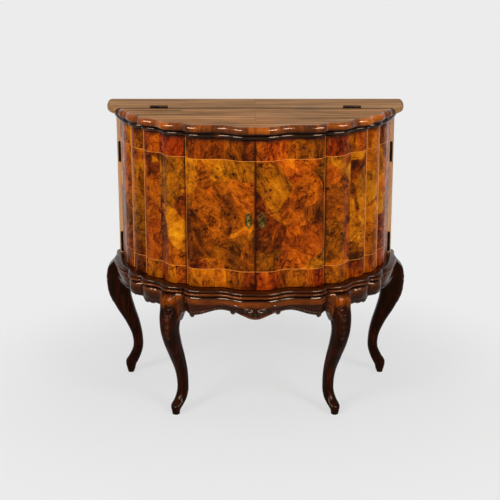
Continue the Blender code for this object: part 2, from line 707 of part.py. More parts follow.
def hinge(name, position, outwards, towards_moving, length, iron):
    """A butt hinge about its local Z axis. Its leaves stand in the joint, on the barrel's local -X side."""
    axis = outwards.cross(towards_moving)
    matrix = Matrix.Translation(position) @ Matrix((outwards, towards_moving, axis)).transposed().to_4x4()
    step = length / KNUCKLES
    starts = [-length / 2 + step * i for i in range(KNUCKLES)]
    spans = [(start + CLEARANCE / 2, start + step - CLEARANCE / 2) for start in starts]
    clear = -HINGE_RADIUS - LEAF_GAP
    leaves = []
    for word, own, face in (("fixed", spans[::2], 0.0), ("moving", spans[1::2], LEAF_THICKNESS + LEAF_GAP)):
        loop = [(-LEAF_WIDTH, -length / 2), (clear, -length / 2)]
        for low, high in own:
            loop += [(clear, low), (0.0, low), (0.0, high), (clear, high)]
        loop += [(clear, length / 2), (-LEAF_WIDTH, length / 2)]
        middle = -HINGE_RADIUS + face + LEAF_THICKNESS / 2
        upright = Matrix.Translation((0, middle, 0)) @ Matrix.Rotation(math.pi / 2, 4, "X")
        leaf = flat(f"{name}_{word}_leaf", [loop], LEAF_THICKNESS, matrix @ upright, iron)
        barrel = rods(f"{name}_{word}_knuckles", own, HINGE_RADIUS, None, matrix, CUTTERS)
        boolean(leaf, barrel, "UNION")
        leaves.append(leaf)
    bore = rods(f"{name}_bore", [(-length, length)], PIN_RADIUS + PIN_CLEARANCE, None, matrix, CUTTERS)
    for leaf in leaves:
        boolean(leaf, bore, "DIFFERENCE")
    rods(f"{name}_pin", [(-length / 2, length / 2)], PIN_RADIUS, iron, matrix)
    return leaves[1]


def main():
    clear_scene()
    wood = finish_of("walnut burl veneer", (0.36, 0.13, 0.03), 0.25)
    dark = finish_of("dark walnut", (0.07, 0.025, 0.012), 0.3)
    pale = finish_of("pale walnut", (0.42, 0.26, 0.14), 0.5)
    ebony = finish_of("ebonised wood", (0.012, 0.010, 0.010), 0.25)
    glass = finish_of("clear glass", (0.80, 0.88, 0.86), 0.05)
    silver = finish_of("mirror", (0.85, 0.86, 0.86), 0.03, 1.0)
    brass = finish_of("antique brass", (0.20, 0.16, 0.07), 0.4, 1.0)
    iron = finish_of("dark iron", (0.03, 0.025, 0.022), 0.5, 1.0)

    stand(wood, dark)
    case(wood, pale, ebony, glass, silver)
    lid = top(wood)

    forwards = Vector((0, -1, 0))
    barrel = CLEARANCE + HINGE_RADIUS
    door_end = outline([angle_at_depth(DOOR_END, 0.0)], 0.0)[0, 0]
    doors = {side: [door(side, wood), plate(side, brass)] for side in (-1, 1)}
    lock_case, keeper, bolt = lock(doors[1][0], brass)
    doors[1].append(lock_case)
    doors[-1].append(keeper)
    for side, word in ((-1, "left"), (1, "right")):
        outwards = Vector((side, 0, 0))
        for level, rise in DOOR_HINGE_HEIGHTS.items():
            position = place(side * (door_end + barrel), DOOR_AXIS_DEPTH, DOOR_BOTTOM + rise)
            name = f"{word}_door_{level}_hinge"
            doors[side].append(hinge(name, position, outwards, forwards, DOOR_HINGE_LENGTH, iron))
        middle = place(side * (door_end + barrel), DOOR_AXIS_DEPTH, (DOOR_BOTTOM + DOOR_TOP) / 2)
        axis_empty(f"{word}_door_axis", middle, doors[side])
    axis_empty("lock_bolt_axis", bolt.location.copy(), [bolt])

    moving = [lid]
    for side, word in ((-1, "left"), (1, "right")):
        position = place(side * LID_HINGE_REACH, LID_HINGE_DEPTH, LID_AXIS_HEIGHT)
        name = f"lid_{word}_hinge"
        moving.append(hinge(name, position, Vector((0, 0, 1)), forwards, LID_HINGE_LENGTH, iron))
    axis_empty("lid_axis", place(0, LID_HINGE_DEPTH, LID_AXIS_HEIGHT), moving)


main()
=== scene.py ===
import math
import bpy
import numpy as np
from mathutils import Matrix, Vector


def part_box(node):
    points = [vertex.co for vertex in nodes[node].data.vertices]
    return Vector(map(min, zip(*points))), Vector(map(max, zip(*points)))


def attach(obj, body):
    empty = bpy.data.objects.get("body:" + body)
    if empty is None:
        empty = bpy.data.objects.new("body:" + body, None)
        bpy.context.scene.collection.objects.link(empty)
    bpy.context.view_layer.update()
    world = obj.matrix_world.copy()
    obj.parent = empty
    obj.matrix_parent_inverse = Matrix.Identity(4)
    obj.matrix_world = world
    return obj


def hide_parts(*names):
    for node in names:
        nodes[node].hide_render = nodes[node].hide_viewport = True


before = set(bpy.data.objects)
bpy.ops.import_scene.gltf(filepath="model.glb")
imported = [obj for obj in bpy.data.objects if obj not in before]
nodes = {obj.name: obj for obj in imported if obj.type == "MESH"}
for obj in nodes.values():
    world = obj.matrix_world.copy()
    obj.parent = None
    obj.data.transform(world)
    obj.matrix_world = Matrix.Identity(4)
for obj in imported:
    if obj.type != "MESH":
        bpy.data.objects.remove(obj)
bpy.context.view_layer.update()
print("frame:", len(nodes), "nodes")

# the plan: a half ellipse with a wave on it, the same one that the solids follow
planShape = {
    "halfWidth": 0.447, "depth": 0.400,
    "knots": (  # degrees from the front, wave of the doors, wave of the top, 1 at a crease
        (0, 0.004, 0.003, 0), (4.5, 0.005, 0.005, 0), (13, -0.013, -0.015, 0), (24.6, 0.0075, 0.0065, 0),
        (28.6, -0.009, -0.009, 1), (35, 0.008, 0.010, 0), (41, -0.007, -0.005, 0), (47, 0.003, 0.007, 0),
        (50.8, -0.008, -0.007, 1), (55.5, 0.004, 0, 0), (60.8, -0.008, -0.012, 1), (64.5, -0.002, -0.006, 0),
        (68, -0.002, -0.012, 1), (79, -0.004, 0.005, 0), (85, -0.012, 0.004, 0), (90, -0.012, 0.003, 0),
    ),
    "creaseHalf": 0.8,  # degrees over which a crease is dark
    "knotGap": 0.02,  # degrees that an even step keeps from a knot
    "endSearch": (40, 90, 2001),  # angles tried for an end at the flat back
}
knots = np.array(planShape["knots"], float)
bodyWave, topWave, creaseMark = 1, 2, 3  # columns of the knots
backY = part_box("base_moulding")[1].y
sides = ((-1, "left"), (1, "right"))


def spanOf(marks, values):
    # number of the span between two marks that holds each value, and the share of the span passed
    i = np.clip(np.searchsorted(marks, values, side="right") - 1, 0, len(marks) - 2)
    return i, (values - marks[i]) / (marks[i + 1] - marks[i])


def waveAt(angles, column):
    # between two knots half a cosine wave; on either side of a crease a quarter of one, which keeps it sharp
    i, share = spanOf(knots[:, 0], np.abs(angles))
    leaving = np.sin(share * np.pi / 2)
    nearing = 1 - np.cos(share * np.pi / 2)
    even = (1 - np.cos(share * np.pi)) / 2
    sharp = knots[:, creaseMark] > 0
    blended = np.where(sharp[i], leaving, np.where(sharp[i + 1], nearing, even))
    return knots[i, column] + (knots[i + 1, column] - knots[i, column]) * blended


def planNormal(angles):
    # unit normal of the ellipse: sine over the half width and cosine over the depth, made one long
    turn = np.radians(angles)
    nx = np.sin(turn) / planShape["halfWidth"]
    ny = -np.cos(turn) / planShape["depth"]
    length = np.hypot(nx, ny)
    return nx / length, ny / length


def planAt(angles, out, column=bodyWave):
    # point of the ellipse at an angle, moved along its normal by the wave and by out
    turn = np.radians(angles)
    nx, ny = planNormal(angles)
    reach = waveAt(angles, column) + out
    x = planShape["halfWidth"] * np.sin(turn) + reach * nx
    y = backY - planShape["depth"] * np.cos(turn) + reach * ny
    return x, y


def angleAtDepth(depth, outs, column=bodyWave):
    # angle at which the plan, moved out, is a distance from the flat back: read back from a fine table
    table = np.linspace(*planShape["endSearch"])
    found = []
    for out in np.ravel(outs):
        depths = backY - planAt(table, out, column)[1]
        found.append(np.interp(depth, depths[::-1], table[::-1]))
    return np.array(found).reshape(np.shape(outs))


def denseAngles(low, high, step, extra=()):
    # even steps from low to high, with the knots and the extra angles put in
    gap = planShape["knotGap"]
    marks = np.concatenate([knots[:, 0], -knots[:, 0], np.asarray(extra, float)])
    marks = marks[(marks > low + gap) & (marks < high - gap)]
    even = np.linspace(low, high, int(math.ceil((high - low) / step)) + 1)
    keep = np.abs(even[:, None] - marks[None, :]).min(1) > gap
    keep[[0, -1]] = True
    return np.unique(np.concatenate([even[keep], marks]))


def smoothCurve(points, count):
    # cubic through every point, its slope at a point half the step between that point's neighbours
    p = np.asarray(points, float)
    wide = np.vstack([2 * p[0] - p[1], p, 2 * p[-1] - p[-2]])
    t = np.linspace(0, len(p) - 1, count)
    i = np.minimum(t.astype(int), len(p) - 2)
    f = (t - i)[:, None]
    a, b, c, d = wide[i], wide[i + 1], wide[i + 2], wide[i + 3]
    rest = (2 * a - 5 * b + 4 * c - d) * f ** 2 + (3 * b - a - 3 * c + d) * f ** 3
    return 0.5 * (2 * b + (c - a) * f + rest)


def eased(table, values):
    # value between the rows of a table, by half cosines
    table = np.asarray(table, float)
    i, share = spanOf(table[:, 0], np.clip(values, table[0, 0], table[-1, 0]))
    return table[i, 1] + (table[i + 1, 1] - table[i, 1]) * (1 - np.cos(np.pi * share)) / 2


def smoothStep(values, start, stop):
    # 0 before start, 1 after stop, a cubic between
    t = np.clip((values - start) / (stop - start), 0, 1)
    return t * t * (3 - 2 * t)


def window(values, start, full, fading, stop):
    # a step up from start to full, times a step down from fading to stop
    return smoothStep(values, start, full) * (1 - smoothStep(values, fading, stop))


def hump(values, centre, width, height=1.0):
    # bell curve with its height at the centre
    return height * np.exp(-((values - centre) / width) ** 2)


def arcLength(x, y):
    # running length along a line of points
    return np.concatenate([[0.0], np.cumsum(np.hypot(np.diff(x), np.diff(y)))])


def joined(*parts):
    # coordinates stretched to one grid and put side by side
    return np.stack(np.broadcast_arrays(*parts), -1)


def gridBlock(points, uv=None, finish=0, capFinish=None, pointValues=(), faceValues=(), ring=False):
    # quads between rows and columns of a grid: the last column joins the first, and the end rows are capped,
    # or joined to each other for a ring; turned round if the enclosed volume comes out negative
    rows, columns = points.shape[:2]
    flat = points.reshape(-1, 3)
    row, column = np.meshgrid(np.arange(rows if ring else rows - 1), np.arange(columns), indexing="ij")
    nextRow, nextColumn = (row + 1) % rows, (column + 1) % columns
    corners = ((row, column), (row, nextColumn), (nextRow, nextColumn), (nextRow, column))
    quads = np.stack([r * columns + c for r, c in corners], -1).reshape(-1, 4)
    uv = np.zeros((rows + 1, columns + 1, 2)) if uv is None else uv
    uvCorners = [uv[row, column], uv[row, column + 1], uv[row + 1, column + 1], uv[row + 1, column]]
    quadUv = np.stack(uvCorners, 2).reshape(-1, 4, 2)
    caps = [] if ring else [np.arange(columns)[::-1], (rows - 1) * columns + np.arange(columns)]
    fans = [np.stack([np.full(len(c) - 2, c[0]), c[1:-1], c[2:]], -1) for c in caps]
    triangles = np.concatenate([quads[:, [0, 1, 2]], quads[:, [0, 2, 3]], *fans])
    a, b, c = flat[triangles[:, 0]], flat[triangles[:, 1]], flat[triangles[:, 2]]
    if np.einsum("ij,ij->i", a, np.cross(b, c)).sum() < 0:
        quads, quadUv = quads[:, ::-1], quadUv[:, ::-1]
        caps = [cap[::-1] for cap in caps]
    finishes = np.broadcast_to(np.asarray(finish), row.shape).ravel()
    capMarks = np.full(len(caps), finishes[0] if capFinish is None else capFinish)
    values = {}
    for key, value in dict(pointValues).items():
        values[key] = ("POINT", np.broadcast_to(value, points.shape[:2]).ravel())
    for key, value in dict(faceValues).items():
        values[key] = ("FACE", np.append(np.broadcast_to(value, row.shape).ravel(), np.zeros(len(caps))))
    return {
        "points": flat, "quads": quads, "quadUv": quadUv, "caps": caps, "values": values,
        "finish": np.concatenate([finishes, capMarks]).astype(np.int32),
    }


def newObject(name, data):
    # an object of the data, put into the scene
    thing = bpy.data.objects.new(name, data)
    bpy.context.scene.collection.objects.link(thing)
    return thing


def makePiece(name, body, blocks, finishes, replaced=(), sharp=38):
    # one mesh from grid blocks, with their UVs, values and finishes, riding on a body of the frame
    faces, uvs, start = [], [], 0
    for block in blocks:
        faces += (block["quads"] + start).tolist() + [(cap + start).tolist() for cap in block["caps"]]
        uvs.append(block["quadUv"].reshape(-1, 2))
        uvs += [block["points"][cap][:, [0, 2]] for cap in block["caps"]]
        start += len(block["points"])
    mesh = bpy.data.meshes.new(name)
    mesh.from_pydata(np.concatenate([block["points"] for block in blocks]).tolist(), [], faces)
    layer = mesh.uv_layers.new(name="run")
    layer.data.foreach_set("uv", np.concatenate(uvs).astype(np.float32).ravel())
    mesh.polygons.foreach_set("material_index", np.concatenate([block["finish"] for block in blocks]))
    for key, (domain, _) in blocks[0]["values"].items():
        values = np.concatenate([block["values"][key][1] for block in blocks]).astype(np.float32)
        mesh.attributes.new(key, "FLOAT", domain).data.foreach_set("value", values)
    mesh.shade_smooth()
    mesh.set_sharp_from_angle(angle=math.radians(sharp))
    mesh.update()
    piece = newObject(name, mesh)
    for finish in finishes:
        mesh.materials.append(finish)
    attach(piece, body)
    if replaced:
        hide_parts(*replaced)


# finishes: short helpers for nodes, then one function for each finish
def shade(red, green, blue):
    # a colour as a paint chart gives it, 0 to 255, turned to the linear values that nodes take
    c = np.array([red, green, blue]) / 255
    linear = np.where(c <= 0.04045, c / 12.92, ((c + 0.055) / 1.055) ** 2.4)
    return (*linear.tolist(), 1.0)


def newFinish(name, roughness, **sockets):
    finish = bpy.data.materials.new(name)
    finish.use_nodes = True
    inputs = finish.node_tree.nodes["Principled BSDF"].inputs
    for socket, value in {"Roughness": roughness, **sockets}.items():
        inputs[socket.replace("_", " ")].default_value = value
    return finish, finish.node_tree


def newPolish(name, roughness, gloss):
    return newFinish(name, roughness, Specular_IOR_Level=gloss, Specular_Tint=varnishTint)


def put(tree, kind, inputs=None, **settings):
    node = tree.nodes.new("ShaderNode" + kind)
    for name, value in settings.items():
        setattr(node, name, value)
    for socket, value in (inputs or {}).items():
        if isinstance(value, bpy.types.NodeSocket):
            tree.links.new(value, node.inputs[socket])
        else:
            node.inputs[socket].default_value = value
    return node


def calc(tree, operation, first, second=0.0, third=0.0, clamp=False):
    inputs = {0: first, 1: second, 2: third}
    return put(tree, "Math", inputs, operation=operation, use_clamp=clamp).outputs[0]


def times(tree, first, second):
    return calc(tree, "MULTIPLY", first, second)


def added(tree, value, share, start, clamp=False):
    return calc(tree, "MULTIPLY_ADD", value, share, start, clamp)


def blend(tree, share, low, high):
    # low at a share of 0, high at a share of 1, a straight line between
    return added(tree, share, high - low, low)


def swing(tree, value, share, start, clamp=False):
    # start plus a share of the value, counted from the middle of its range
    return added(tree, calc(tree, "SUBTRACT", value, 0.5), share, start, clamp)


def moved(tree, operation, first, second):
    return put(tree, "VectorMath", {0: first, 1: second}, operation=operation).outputs[0]


def scaled(tree, vector, factor):
    return put(tree, "VectorMath", {0: vector, "Scale": factor}, operation="SCALE").outputs[0]


def mixed(tree, share, first, second):
    return put(tree, "Mix", {0: share, 6: first, 7: second}, data_type="RGBA").outputs[2]


def ramp(tree, share, stops):
    # a stop is a position and then a colour as for shade
    node = put(tree, "ValToRGB", {"Fac": share})
    bar = node.color_ramp.elements
    while len(bar) < len(stops):
        bar.new(0.5)
    for element, (position, *colour) in zip(bar, stops):
        element.position = position
        element.color = shade(*colour)
    return node.outputs["Color"]


def between(tree, value, low, high, first=0.0, second=1.0):
    # first below low, second above high, a cubic between
    inputs = {"Value": value, "From Min": low, "From Max": high, "To Min": first, "To Max": second}
    return put(tree, "MapRange", inputs, interpolation_type="SMOOTHSTEP").outputs["Result"]


def noise(tree, vector, scale, detail=2.0, rough=0.5, bend=0.0):
    inputs = {"Vector": vector, "Scale": scale, "Detail": detail, "Roughness": rough, "Distortion": bend}
    return put(tree, "TexNoise", inputs).outputs["Fac"]


def voronoi(tree, inputs, feature="F1", dimensions="3D"):
    inputs = {"Scale": 1.0, **inputs}
    return put(tree, "TexVoronoi", inputs, voronoi_dimensions=dimensions, feature=feature).outputs


def stretched(tree, place, axis, factor):
    size = [1.0, 1.0, 1.0]
    size[axis] = factor
    return put(tree, "Mapping", {"Vector": place, "Scale": size}).outputs["Vector"]


def bent(tree, place, scale, detail, reach, middle):
    # a place pushed about by the colours of a noise, counted from their middle
    push = put(tree, "TexNoise", {"Vector": place, "Scale": scale, "Detail": detail}).outputs["Color"]
    push = moved(tree, "SUBTRACT", push, (middle, middle, middle))
    return moved(tree, "ADD", place, scaled(tree, push, reach))


def layered(tree, place, axis, layers, tone=0.5):
    # a tone plus a share of each noise, every noise stretched along one axis; a layer's row is
    # stretch, scale per metre, detail, roughness, bend, share of the tone
    made = {}
    for name, (stretch, *pattern, share) in layers.items():
        made[name] = noise(tree, stretched(tree, place, axis, stretch), *pattern)
        tone = swing(tree, made[name], share, tone)
    return tone, made


def attribute(tree, name):
    return put(tree, "Attribute", attribute_name=name).outputs["Fac"]


def objectPlace(tree):
    return put(tree, "TexCoord").outputs["Object"]


def runPlace(tree):
    return put(tree, "UVMap", uv_map="run").outputs["UV"]


def dressed(finish, colour, roughness=None, height=None, bump=()):
    # a finish given its colour and, where they vary, its roughness and its bump of a strength and distance
    tree = finish.node_tree
    inputs = tree.nodes["Principled BSDF"].inputs
    tree.links.new(colour, inputs["Base Color"])
    if roughness is not None:
        tree.links.new(roughness, inputs["Roughness"])
    if height is not None:
        relief = put(tree, "Bump", {"Height": height, "Strength": bump[0], "Distance": bump[1]})
        tree.links.new(relief.outputs["Normal"], inputs["Normal"])
    return finish


varnishTint = (1.0, 0.72, 0.5, 1.0)  # of the polish on the brown woods
veneer = {
    "roughness": 0.27, "gloss": 0.035, "bump": (0.10, 0.002),
    "polish": (26.0, 3.0, 0.6), "polishRange": (0.25, 0.8, 0.17, 0.32),
    "patches": (9.5, 7.5), "bandPatches": (13.0, 1.2),  # cut pieces per metre, across and up
    "seedStep": 5.37, "drift": (0.9, 1.0, 1.32, 0.5), "softEdge": 0.16,
    "turn": 6.283, "bandTurn": (1.42, 1.72), "ownPlace": 9.0,
    "toneStart": (0.2, 0.26), "toneSpread": (0.54, 0.34),  # of the patches, of the bands
    "grain": {
        "curl": (1.0, 38.0, 4.0, 0.62, 1.6, 0.55), "swirl": (1.7, 11.0, 4.0, 0.55, 1.6, 1.1),
        "figure": (12.0, 21.0, 3.0, 0.6, 0.35, 0.34), "fleck": (2.0, 170.0, 2.0, 0.6, 0.6, 0.24),
    },
    "cloud": {"cloud": (1.0, 7.0, 3.0, 0.55, 0.8, 0.6)},
    "rings": 64.0, "ringSharpness": 6.0, "ringTone": -0.17, "wander": (30.0, 3.0, 0.05, 0.0),
    "knot": (42.0, (0.05, 0.26), 9.0, (0.48, 0.64), -0.4),  # scale, reach, scale and limits of patches, tone
    "vein": (24.0, (0.005, 0.06), 17.0, (0.42, 0.58), -0.26),
    "tones": (
        (0.00, 50, 18, 2), (0.18, 92, 37, 3), (0.36, 138, 60, 5), (0.50, 171, 80, 6),
        (0.64, 199, 101, 8), (0.78, 217, 121, 10), (0.90, 231, 144, 17), (1.0, 241, 167, 34),
    ),
    "hue": (0.4925, 0.5145), "bandHue": -0.008,
    "seam": shade(50, 20, 5), "seamFade": (0.0, 0.012, 0.42, 0.0),
    # paintedShade lays painted shade on the doors: down the seam between them, in the creases, on the flanks
    # that turn away and under the bead
    "paintedShade": (0.85, shade(38, 17, 8)), "lineShare": (0.8, shade(249, 157, 69)),  # share, colour laid over: painted shade, then the pale stringing, which beside the creases is also a painted highlight
}


def makeVeneer():
    # cut pieces are cells of a bent Voronoi pattern on (length, height); each one turns its own grain
    s = veneer
    finish, tree = newFinish("patch_veneer", s["roughness"], Specular_IOR_Level=s["gloss"])
    place = runPlace(tree)
    split = put(tree, "SeparateXYZ", {0: place}).outputs
    band = attribute(tree, "bandShare")
    rates = [blend(tree, band, *pair) for pair in zip(s["patches"], s["bandPatches"])]
    cell = {axis: times(tree, split[axis], rate) for axis, rate in enumerate(rates)}
    cell[2] = times(tree, attribute(tree, "panelSeed"), s["seedStep"])
    cell = bent(tree, put(tree, "CombineXYZ", cell).outputs[0], *s["drift"])
    cells = voronoi(tree, {"Vector": cell})["Color"]
    edges = voronoi(tree, {"Vector": cell}, "DISTANCE_TO_EDGE")["Distance"]
    soft = voronoi(tree, {"Vector": cell, "Smoothness": s["softEdge"]}, "SMOOTH_F1")["Color"]
    soft = put(tree, "SeparateColor", {0: soft}).outputs
    pick = put(tree, "SeparateColor", {0: cells}).outputs[1]
    upright = blend(tree, pick, *s["bandTurn"])
    turn = put(tree, "Mix", {0: band, 2: times(tree, pick, s["turn"]), 3: upright}).outputs[0]
    own = put(tree, "VectorRotate", {"Vector": place, "Angle": turn}, rotation_type="Z_AXIS").outputs[0]
    own = moved(tree, "ADD", own, scaled(tree, cells, s["ownPlace"]))
    tone = added(tree, soft[0], blend(tree, band, *s["toneSpread"]), blend(tree, band, *s["toneStart"]))
    tone, grain = layered(tree, own, 1, s["grain"], tone)
    tone = layered(tree, place, 1, s["cloud"], tone)[0]
    rings = calc(tree, "SINE", times(tree, grain["swirl"], s["rings"]))
    lines = calc(tree, "POWER", added(tree, rings, 0.5, 0.5), s["ringSharpness"])
    tone = added(tree, lines, s["ringTone"], tone)
    knotted = ("knot", own, "F1", own)
    veined = ("vein", bent(tree, own, *s["wander"]), "DISTANCE_TO_EDGE", place)
    for name, where, feature, patchPlace in (knotted, veined):
        scale, reach, patchScale, limits, share = s[name]
        distance = voronoi(tree, {"Vector": where, "Scale": scale}, feature)["Distance"]
        patch = between(tree, noise(tree, patchPlace, patchScale), *limits)
        tone = added(tree, times(tree, between(tree, distance, *reach, 1.0, 0.0), patch), share, tone)
    hue = added(tree, band, s["bandHue"], blend(tree, soft[2], *s["hue"]))
    colour = put(tree, "HueSaturation", {"Hue": hue, "Color": ramp(tree, tone, s["tones"])}).outputs["Color"]
    colour = mixed(tree, between(tree, edges, *s["seamFade"]), colour, s["seam"])
    # painted shade, then the pale stringing, laid over by their shares
    for name in ("paintedShade", "lineShare"):
        share, overlay = s[name]
        colour = mixed(tree, times(tree, attribute(tree, name), share), colour, overlay)
    polish = noise(tree, place, *s["polish"])
    height = added(tree, polish, 0.5, times(tree, grain["figure"], 0.5))
    return dressed(finish, colour, between(tree, polish, *s["polishRange"]), height, s["bump"])


woodLayers = {
    "broad": (0.07, 34.0, 4.0, 0.6, 0.9, 0.62), "fine": (0.03, 330.0, 3.0, 0.65, 0.0, 0.25),
    "cloud": (1.0, 5.5, 3.0, 0.55, 0.4, 0.38),
}
metalLayers = {"cloud": (1.0, 90.0, 4.0, 0.6, 0.4, 1.0), "fine": (1.0, 700.0, 2.0, 0.5, 0.0, 0.4)}
paleTones = ((0.22, 154, 112, 76), (0.42, 192, 145, 102), (0.58, 220, 171, 123), (0.8, 244, 197, 147))
walnutTones = ((0.2, 71, 40, 24), (0.42, 116, 69, 38), (0.6, 149, 93, 52), (0.82, 180, 119, 71))
darkTones = ((0.2, 26, 16, 10), (0.5, 57, 30, 17), (0.8, 97, 52, 29))
brassTones = ((0.25, 28, 22, 8), (0.48, 70, 55, 20), (0.64, 108, 88, 36), (0.85, 166, 140, 74))
ironTones = ((0.3, 15, 10, 7), (0.55, 29, 19, 13), (0.8, 50, 35, 25))


def makePlain(name, layers, tones, axis, roughness, polish, bump, **sockets):
    # the sum of noises along one axis is the tone; the clouds also vary the polish, the fine one the bump
    finish, tree = newFinish(name, roughness, **sockets)
    tone, made = layered(tree, objectPlace(tree), axis, layers)
    polish = between(tree, made["cloud"], *polish)
    return dressed(finish, ramp(tree, tone, tones), polish, made["fine"], bump)


def makeGrain(name, tones, axis, roughness, gloss=0.06):
    # plain wood: its roughness runs from 0.85 to 1.25 of what is given
    polish = (0.2, 0.8, roughness * 0.85, roughness * 1.25)
    bump = (0.12, 0.001)
    return makePlain(name, woodLayers, tones, axis, roughness, polish, bump, Specular_IOR_Level=gloss)


def makeMetal(name, tones, roughness):
    # mottled metal: its roughness runs from 0.1 below to 0.1 above what is given
    polish = (0.3, 0.7, roughness - 0.1, roughness + 0.1)
    return makePlain(name, metalLayers, tones, 0, roughness, polish, (0.2, 0.0006), Metallic=1.0)


topVeneer = {
    "roughness": 0.55, "gloss": 0.02, "polish": (0.2, 0.8, 0.48, 0.64), "bump": (0.1, 0.001),
    "sheetLength": 0.62, "sheetWidth": 0.12, "stagger": 0.37, "seamWidth": 0.0007, "ownPlace": 3.0,
    "startTone": 0.54, "cloud": {"cloud": (0.5, 7.0, 3.0, 0.6, 0.6, 0.5)},
    "grain": {
        "broad": (0.05, 44.0, 4.0, 0.62, 0.5, 0.75), "middle": (0.025, 105.0, 3.0, 0.6, 0.0, 0.8),
        "fine": (0.03, 330.0, 3.0, 0.65, 0.0, 0.6),
    },
    "tones": (
        (0.24, 78, 52, 30), (0.40, 123, 88, 55), (0.52, 153, 110, 72), (0.64, 175, 129, 88),
        (0.78, 202, 154, 109),
    ),
    "warm": shade(180, 100, 43), "warmRange": (0.42, 0.66), "warmFront": (0.02, -0.19),
    "warmShare": (0.05, 0.35), "seam": shade(69, 43, 27), "seamShare": 0.4,
    "strip": shade(147, 116, 81), "stripShare": 0.3, "stripEdge": 0.002,
    # joint: a soft dark band along the gap between the lid and the strip, painted shade
    "joint": shade(50, 31, 19), "jointShift": 0.0006, "jointFade": (0.0036, 0.0085, 0.9, 0.0),
}


def makeTopVeneer():
    # sheets of straight grain along the front, in staggered rows, warmer in patches, with faint joints, and
    # a band of painted shade along the gap between the lid and the strip
    s = topVeneer
    finish, tree = newPolish("top_veneer", s["roughness"], s["gloss"])
    place = objectPlace(tree)
    sheets = {
        "Vector": place, "Scale": 1.0, "Mortar Size": s["seamWidth"], "Brick Width": s["sheetLength"],
        "Row Height": s["sheetWidth"], "Color1": (0, 0, 0, 1), "Color2": (1, 1, 1, 1),
        "Mortar": (0.5, 0.5, 0.5, 1),
    }
    sheets = put(tree, "TexBrick", sheets, offset=s["stagger"], offset_frequency=2).outputs
    own = moved(tree, "ADD", place, scaled(tree, sheets["Color"], s["ownPlace"]))
    tone, clouds = layered(tree, place, 0, s["cloud"], s["startTone"])
    tone, grain = layered(tree, own, 0, s["grain"], tone)
    cloud = clouds["cloud"]
    y = put(tree, "SeparateXYZ", {0: place}).outputs[1]
    nearFront = blend(tree, between(tree, y, *s["warmFront"]), *s["warmShare"])
    warmth = times(tree, between(tree, cloud, *s["warmRange"]), nearFront)
    colour = mixed(tree, warmth, ramp(tree, tone, s["tones"]), s["warm"])
    colour = mixed(tree, times(tree, sheets["Fac"], s["seamShare"]), colour, s["seam"])
    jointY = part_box("lid")[1].y
    onStrip = between(tree, y, jointY, jointY + s["stripEdge"], 0.0, s["stripShare"])
    colour = mixed(tree, onStrip, colour, s["strip"])
    # painted shade in a band along the gap between the lid and the strip
    joint = calc(tree, "ABSOLUTE", calc(tree, "SUBTRACT", y, jointY + s["jointShift"]))
    colour = mixed(tree, between(tree, joint, *s["jointFade"]), colour, s["joint"])
    return dressed(finish, colour, between(tree, cloud, *s["polish"]), grain["fine"], s["bump"])


rimVeneer = {
    "roughness": 0.14, "gloss": 0.2, "bump": (0.08, 0.001),
    "pieceLength": 0.062, "unevenness": 0.7, "pieceTone": 0.32, "startTone": 0.31,
    "layers": {"figure": (0.25, 120.0, 4.0, 0.62, 0.5, 0.4), "cloud": (0.25, 21.0, 3.0, 0.6, 0.8, 0.5)},
    "tones": (
        (0.20, 43, 18, 3), (0.38, 97, 43, 5), (0.52, 147, 69, 6), (0.66, 183, 93, 10), (0.84, 216, 123, 22),
    ),
    "joint": shade(50, 22, 10), "jointFade": (0.0, 0.02, 0.7, 0.0),
    # under: the lower part of the nose darker, painted shade
    "under": shade(38, 16, 5), "underFade": (0.020, 0.042, 0.0, 0.8),
}


def makeRimVeneer():
    # short pieces with the grain across the edge: each length of the run has its own tone and dark joints,
    # and the lower part of the nose is darker, painted shade
    s = rimVeneer
    finish, tree = newPolish("rim_veneer", s["roughness"], s["gloss"])
    split = put(tree, "SeparateXYZ", {0: runPlace(tree)}).outputs
    pieces = {"W": calc(tree, "DIVIDE", split[0], s["pieceLength"]), "Randomness": s["unevenness"]}
    pick = put(tree, "SeparateColor", {0: voronoi(tree, pieces, "F1", "1D")["Color"]}).outputs
    edges = voronoi(tree, pieces, "DISTANCE_TO_EDGE", "1D")["Distance"]
    own = put(tree, "CombineXYZ", {0: split[0], 1: split[1], 2: pick[0]}).outputs[0]
    tone = added(tree, pick[1], s["pieceTone"], s["startTone"])
    tone, made = layered(tree, own, 1, s["layers"], tone)
    colour = mixed(tree, between(tree, edges, *s["jointFade"]), ramp(tree, tone, s["tones"]), s["joint"])
    # painted shade on the lower part of the nose
    colour = mixed(tree, between(tree, split[1], *s["underFade"]), colour, s["under"])
    return dressed(finish, colour, None, made["figure"], s["bump"])


carvedWood = {
    "grain": {"broad": (1.0, 60.0, 5.0, 0.6, 1.0, 0.6), "fine": (1.0, 420.0, 3.0, 0.6, 0.0, 0.3)},
    "cloud": {"cloud": (1.0, 16.0, 4.0, 0.6, 0.5, 0.4)},
    "light": ((0.25, 55, 20, 3), (0.45, 102, 43, 5), (0.60, 154, 71, 8), (0.8, 202, 104, 14)),
    "dark": ((0.25, 13, 5, 2), (0.5, 29, 9, 3), (0.75, 76, 24, 6)),
    "wear": shade(112, 76, 52), "wearFrom": (0.35, 1.0), "wearPatches": (0.35, 0.65, 0.1, 0.55),
    "uneven": 0.5, "polish": (0.8, 1.4), "bump": (0.12, 0.0015),
}


